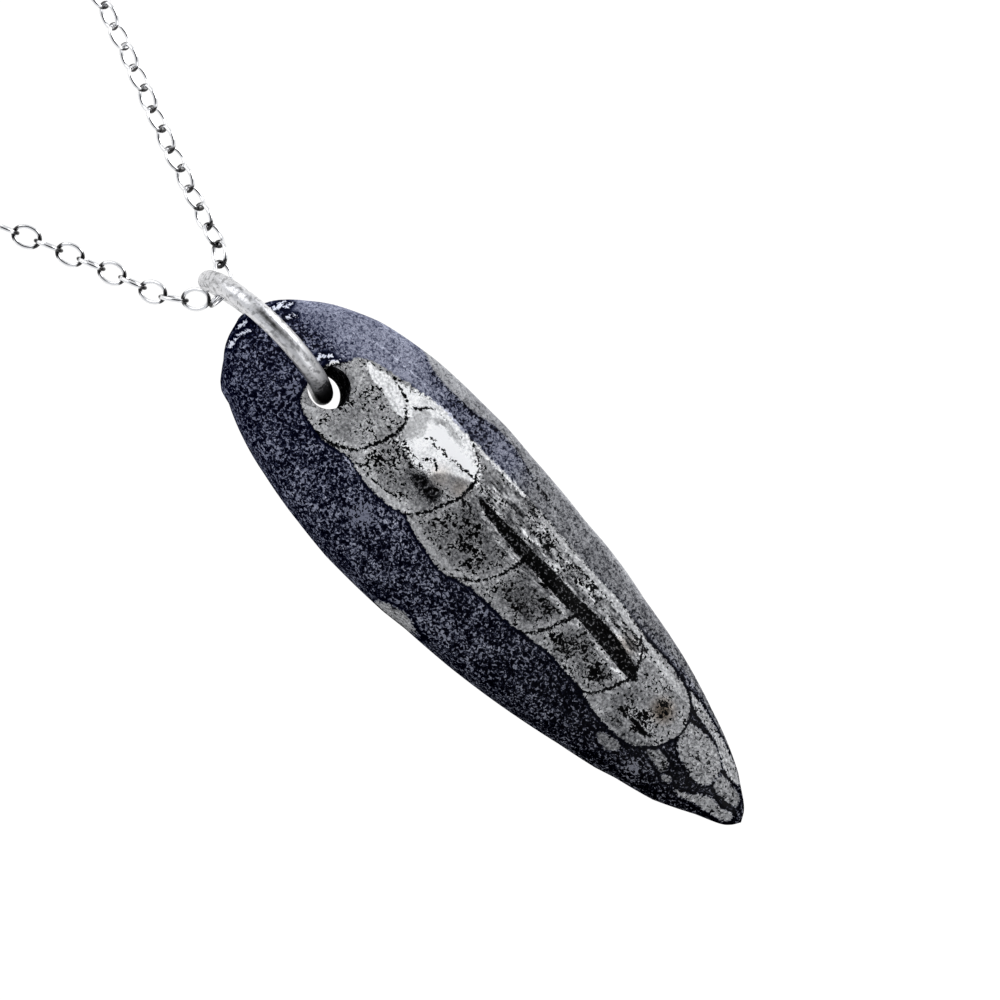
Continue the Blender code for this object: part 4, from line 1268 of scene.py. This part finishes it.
class PENDANT_OT_stone(bpy.types.Operator):
    """Grind, drill and mark the limestone drop"""

    bl_idname = "pendant.stone"
    bl_label = "Stone"

    def execute(self, context):
        settings = context.scene.pendant_stone
        mat = polished_limestone(settings)
        corners, faces = stone_mesh(settings.mesh_step / MM)
        wear(corners)
        mesh = faced_mesh("stone_front", corners, faces.tolist())
        stone = new_object("fossil_stone", mesh, mat)
        body = bmesh.new()
        bmesh.ops.create_cone(
            body, cap_ends=True, segments=96, radius1=HOLE_RADIUS * MM, radius2=HOLE_RADIUS * MM,
            depth=4 * THICK * MM, matrix=Matrix.Translation(Vector((*HOLE_AT, 0.0)) * MM),
        )
        mesh = bpy.data.meshes.new("drill")
        body.to_mesh(mesh)
        body.free()
        combine(stone, new_object("drill", mesh, mat), "DIFFERENCE")
        mark_stone(stone.data)
        stone.data.shade_smooth()
        stone.data.set_sharp_from_angle(angle=math.radians(40.0))
        stone.data.transform(POSE)
        dress(stone, "limestone", "stone")
        return {"FINISHED"}


# Jump ring


def satin_steel(colour):
    """Satin stainless steel wire: drawn marks run along it, with a few dents from the pliers."""
    mat, tree = new_material("satin_steel")
    add = partial(add_node, tree)
    wire = add("ShaderNodeUVMap", uv_map="wire")
    # Drawn marks are finer than this: 0.1 mm across so that they show
    stretch = add("ShaderNodeMapping", {"Vector": wire, "Scale": (0.3, 7.0, 1.0)})
    drawn = add("ShaderNodeTexNoise", {
        "Vector": stretch, "Scale": 1.0, "Detail": 4.0, "Roughness": 0.6,
    })
    place = add("ShaderNodeTexCoord").outputs["Object"]
    pits = add("ShaderNodeTexNoise", {
        "Vector": place, "Scale": 2600.0, "Detail": 3.0, "Roughness": 0.65,
    })
    pitted = add("ShaderNodeMapRange", {
        "Value": pits, "From Min": 0.38, "From Max": 0.52, "To Min": 0.5, "To Max": 1.1,
    })
    lined = add("ShaderNodeMapRange", {
        "Value": drawn, "From Min": 0.3, "From Max": 0.7, "To Min": 0.8, "To Max": 1.1,
    })
    # Painted shade from the hole: darker toward it, and black where the wire goes down into it
    hole_shade = add("ShaderNodeAttribute", attribute_name="hole_shade").outputs["Fac"]
    hole_dimming = add("ShaderNodeMapRange", {
        "Value": hole_shade, "From Max": 0.8, "To Min": 0.95, "To Max": 0.5,
    })
    marked = add("ShaderNodeMath", {0: pitted, 1: lined}, operation="MULTIPLY")
    marks_and_shade = add("ShaderNodeMath", {0: marked, 1: hole_dimming}, operation="MULTIPLY")
    tone = add("ShaderNodeMix", {
        0: 1.0, 6: colour, 7: marks_and_shade,
    }, data_type="RGBA", blend_type="MULTIPLY").outputs[2]
    # The wire's end in the hole is painted black as shade, its edge made ragged by the pits
    ragged = add("ShaderNodeMath", {0: pits, 1: 0.28, 2: hole_shade}, operation="MULTIPLY_ADD")
    black = add("ShaderNodeMapRange", {
        "Value": ragged, "From Min": 0.97, "From Max": 1.01, "To Max": 0.97,
    })
    tone = add("ShaderNodeMix", {
        0: black, 6: tone, 7: (0.006, 0.006, 0.007, 1.0),
    }, data_type="RGBA").outputs[2]
    rough = add("ShaderNodeMapRange", {
        "Value": drawn, "From Min": 0.3, "From Max": 0.7, "To Min": 0.28, "To Max": 0.45,
    })
    relief = add("ShaderNodeMath", {0: drawn, 1: pits}, operation="ADD")
    bump = add("ShaderNodeBump", {"Height": relief, "Strength": 0.6, "Distance": 0.00003})
    surface = add("ShaderNodeBsdfPrincipled", {
        "Base Color": tone, "Roughness": rough, "Normal": bump, "Metallic": 1.0,
    })
    add("ShaderNodeOutputMaterial", {"Surface": surface})
    return mat


class PENDANT_OT_jump_ring(bpy.types.Operator):
    """Turn the jump ring from round wire, closed where its ends meet"""

    bl_idname = "pendant.jump_ring"
    bl_label = "Jump Ring"

    def execute(self, context):
        settings = context.scene.pendant_ring
        loop = arc_points((0.0, 0.0, 0.0), settings.radius / MM, 0.0, math.tau, RING_STEPS + 1)[:-1]
        height = -loop[:, 1:2] * MM / settings.radius
        aside = np.array([0.0, math.sin(RING_LEAN), math.cos(RING_LEAN)])
        loop += np.where(height > 0, RING_BOW, RING_BEND) * np.abs(height) ** 1.5 * aside
        radii = np.full(RING_STEPS, settings.wire / MM / 2)
        radii[RING_SEAM - 1 : RING_SEAM + 2] -= (0.02, 0.09, 0.02)
        mesh = tube_mesh("jump_ring_wire", loop, radii, RING_SIDES, True)
        uv = mesh.uv_layers.new(name="wire")  # mm along the wire, and round it
        for poly in mesh.polygons:
            rows, turns = zip(*(divmod(k, RING_SIDES) for k in poly.vertices))
            for i, row, turn in zip(poly.loop_indices, rows, turns):
                row += RING_STEPS if row == 0 and RING_STEPS - 1 in rows else 0
                turn += RING_SIDES if turn == 0 and RING_SIDES - 1 in turns else 0
                uv.data[i].uv = (
                    row / RING_STEPS * math.tau * RING_RADIUS,
                    turn / RING_SIDES * math.pi * RING_WIRE,
                )
        lean = Matrix.Rotation(-(math.pi / 2 - RING_LEAN), 4, "X")
        mesh.transform(Matrix.Translation(Vector(RING_AT) * MM) @ lean)
        # Painted shade from the hole along the ring: 0 before the first station, 1 past the second
        hole_shade = mesh.attributes.new("hole_shade", "FLOAT", "POINT")
        for vert, mark in zip(mesh.vertices, hole_shade.data):
            mark.value = np.interp(vert.co.x / MM, HOLE_SHADE_SPAN, (0.0, 1.0))
        mesh.transform(POSE)
        ring = new_object("steel_jump_ring", mesh, satin_steel(settings.colour))
        dress(ring, "steel", "jump_ring")
        return {"FINISHED"}


# Stage


class PENDANT_OT_stage(bpy.types.Operator):
    """Lay the light table and hang the softboxes"""

    bl_idname = "pendant.stage"
    bl_label = "Stage"

    def execute(self, context):
        settings = context.scene.pendant_stage
        scene = context.scene
        # Opal acrylic sheet, matt as extruded and lit from below
        mat, tree = new_material("opal_acrylic_sheet")
        add = partial(add_node, tree)
        surface = add("ShaderNodeBsdfPrincipled", {
            "Base Color": settings.floor_colour, "Roughness": 0.9,
            "Emission Color": (1.0, 1.0, 1.0, 1.0), "Emission Strength": 1.0,
        })
        add("ShaderNodeOutputMaterial", {"Surface": surface})
        body = bmesh.new()
        bmesh.ops.create_grid(body, x_segments=1, y_segments=1, size=FLOOR)
        mesh = bpy.data.meshes.new("floor")
        body.to_mesh(mesh)
        body.free()
        floor = new_object("floor", mesh, mat)

        # A tent whose white walls stop short of the zenith
        world = bpy.data.worlds.new("light_tent")
        world.use_nodes = True
        tree = world.node_tree
        tree.nodes.clear()
        add = partial(add_node, tree)
        aim = add("ShaderNodeTexCoord").outputs["Generated"]
        rise = add("ShaderNodeSeparateXYZ", {0: aim}).outputs["Z"]
        wall = add("ShaderNodeMapRange", {
            "Value": rise, "From Min": 0.76, "From Max": 0.87, "To Min": settings.tent,
            "To Max": 0.01,
        }, interpolation_type="SMOOTHSTEP")
        sky = add("ShaderNodeBackground", {
            "Color": hex_colour("#eceef2"), "Strength": wall,
        })
        add("ShaderNodeOutputWorld", {"Surface": sky})
        scene.world = world
        scene.view_settings.view_transform = "Standard"
        for name, place, power in (
            ("key_softbox", (0.05, 0.5, 0.22), settings.key_power),
            ("left_softbox", (-0.5, 0.0, 0.25), settings.fill_power),
            ("right_softbox", (0.5, -0.05, 0.25), settings.fill_power),
        ):
            data = bpy.data.lights.new(name, "AREA")
            data.energy, data.size = power, SOFTBOX
            light = bpy.data.objects.new(name, data)
            light.location = place
            light.rotation_euler = (-Vector(place)).to_track_quat("-Z", "Y").to_euler()
            scene.collection.objects.link(light)
        return {"FINISHED"}


class PENDANT_PT_panel(bpy.types.Panel):
    bl_idname = "PENDANT_PT_panel"
    bl_label = "Fossil Pendant"
    bl_space_type = "VIEW_3D"
    bl_region_type = "UI"
    bl_category = "Fossil Pendant"

    def draw(self, context):
        for group, operators in SECTIONS:
            box = self.layout.box()
            settings = getattr(context.scene, group)
            for name in settings.__annotations__:
                box.prop(settings, name)
            for operator in operators:
                box.operator(operator.bl_idname)


GROUPS = {
    "pendant_stage": StageSettings,
    "pendant_chain": ChainSettings,
    "pendant_stone": StoneSettings,
    "pendant_ring": RingSettings,
}
SECTIONS = (
    ("pendant_stage", (PENDANT_OT_camera, PENDANT_OT_stage)),
    ("pendant_chain", (PENDANT_OT_chain, PENDANT_OT_clasp)),
    ("pendant_stone", (PENDANT_OT_stone,)),
    ("pendant_ring", (PENDANT_OT_jump_ring,)),
)
CLASSES = (
    *GROUPS.values(),
    *(operator for _, operators in SECTIONS for operator in operators),
    PENDANT_PT_panel,
)


def register():
    for cls in CLASSES:
        bpy.utils.register_class(cls)
    for name, group in GROUPS.items():
        setattr(bpy.types.Scene, name, PointerProperty(type=group))


def unregister():
    for name in GROUPS:
        delattr(bpy.types.Scene, name)
    for cls in reversed(CLASSES):
        bpy.utils.unregister_class(cls)


def main():
    register()
    bpy.ops.pendant.camera()
    bpy.ops.pendant.chain()
    bpy.ops.pendant.clasp()
    bpy.ops.pendant.stone()
    bpy.ops.pendant.jump_ring()
    bpy.ops.pendant.stage()


if __name__ == "__main__":
    main()
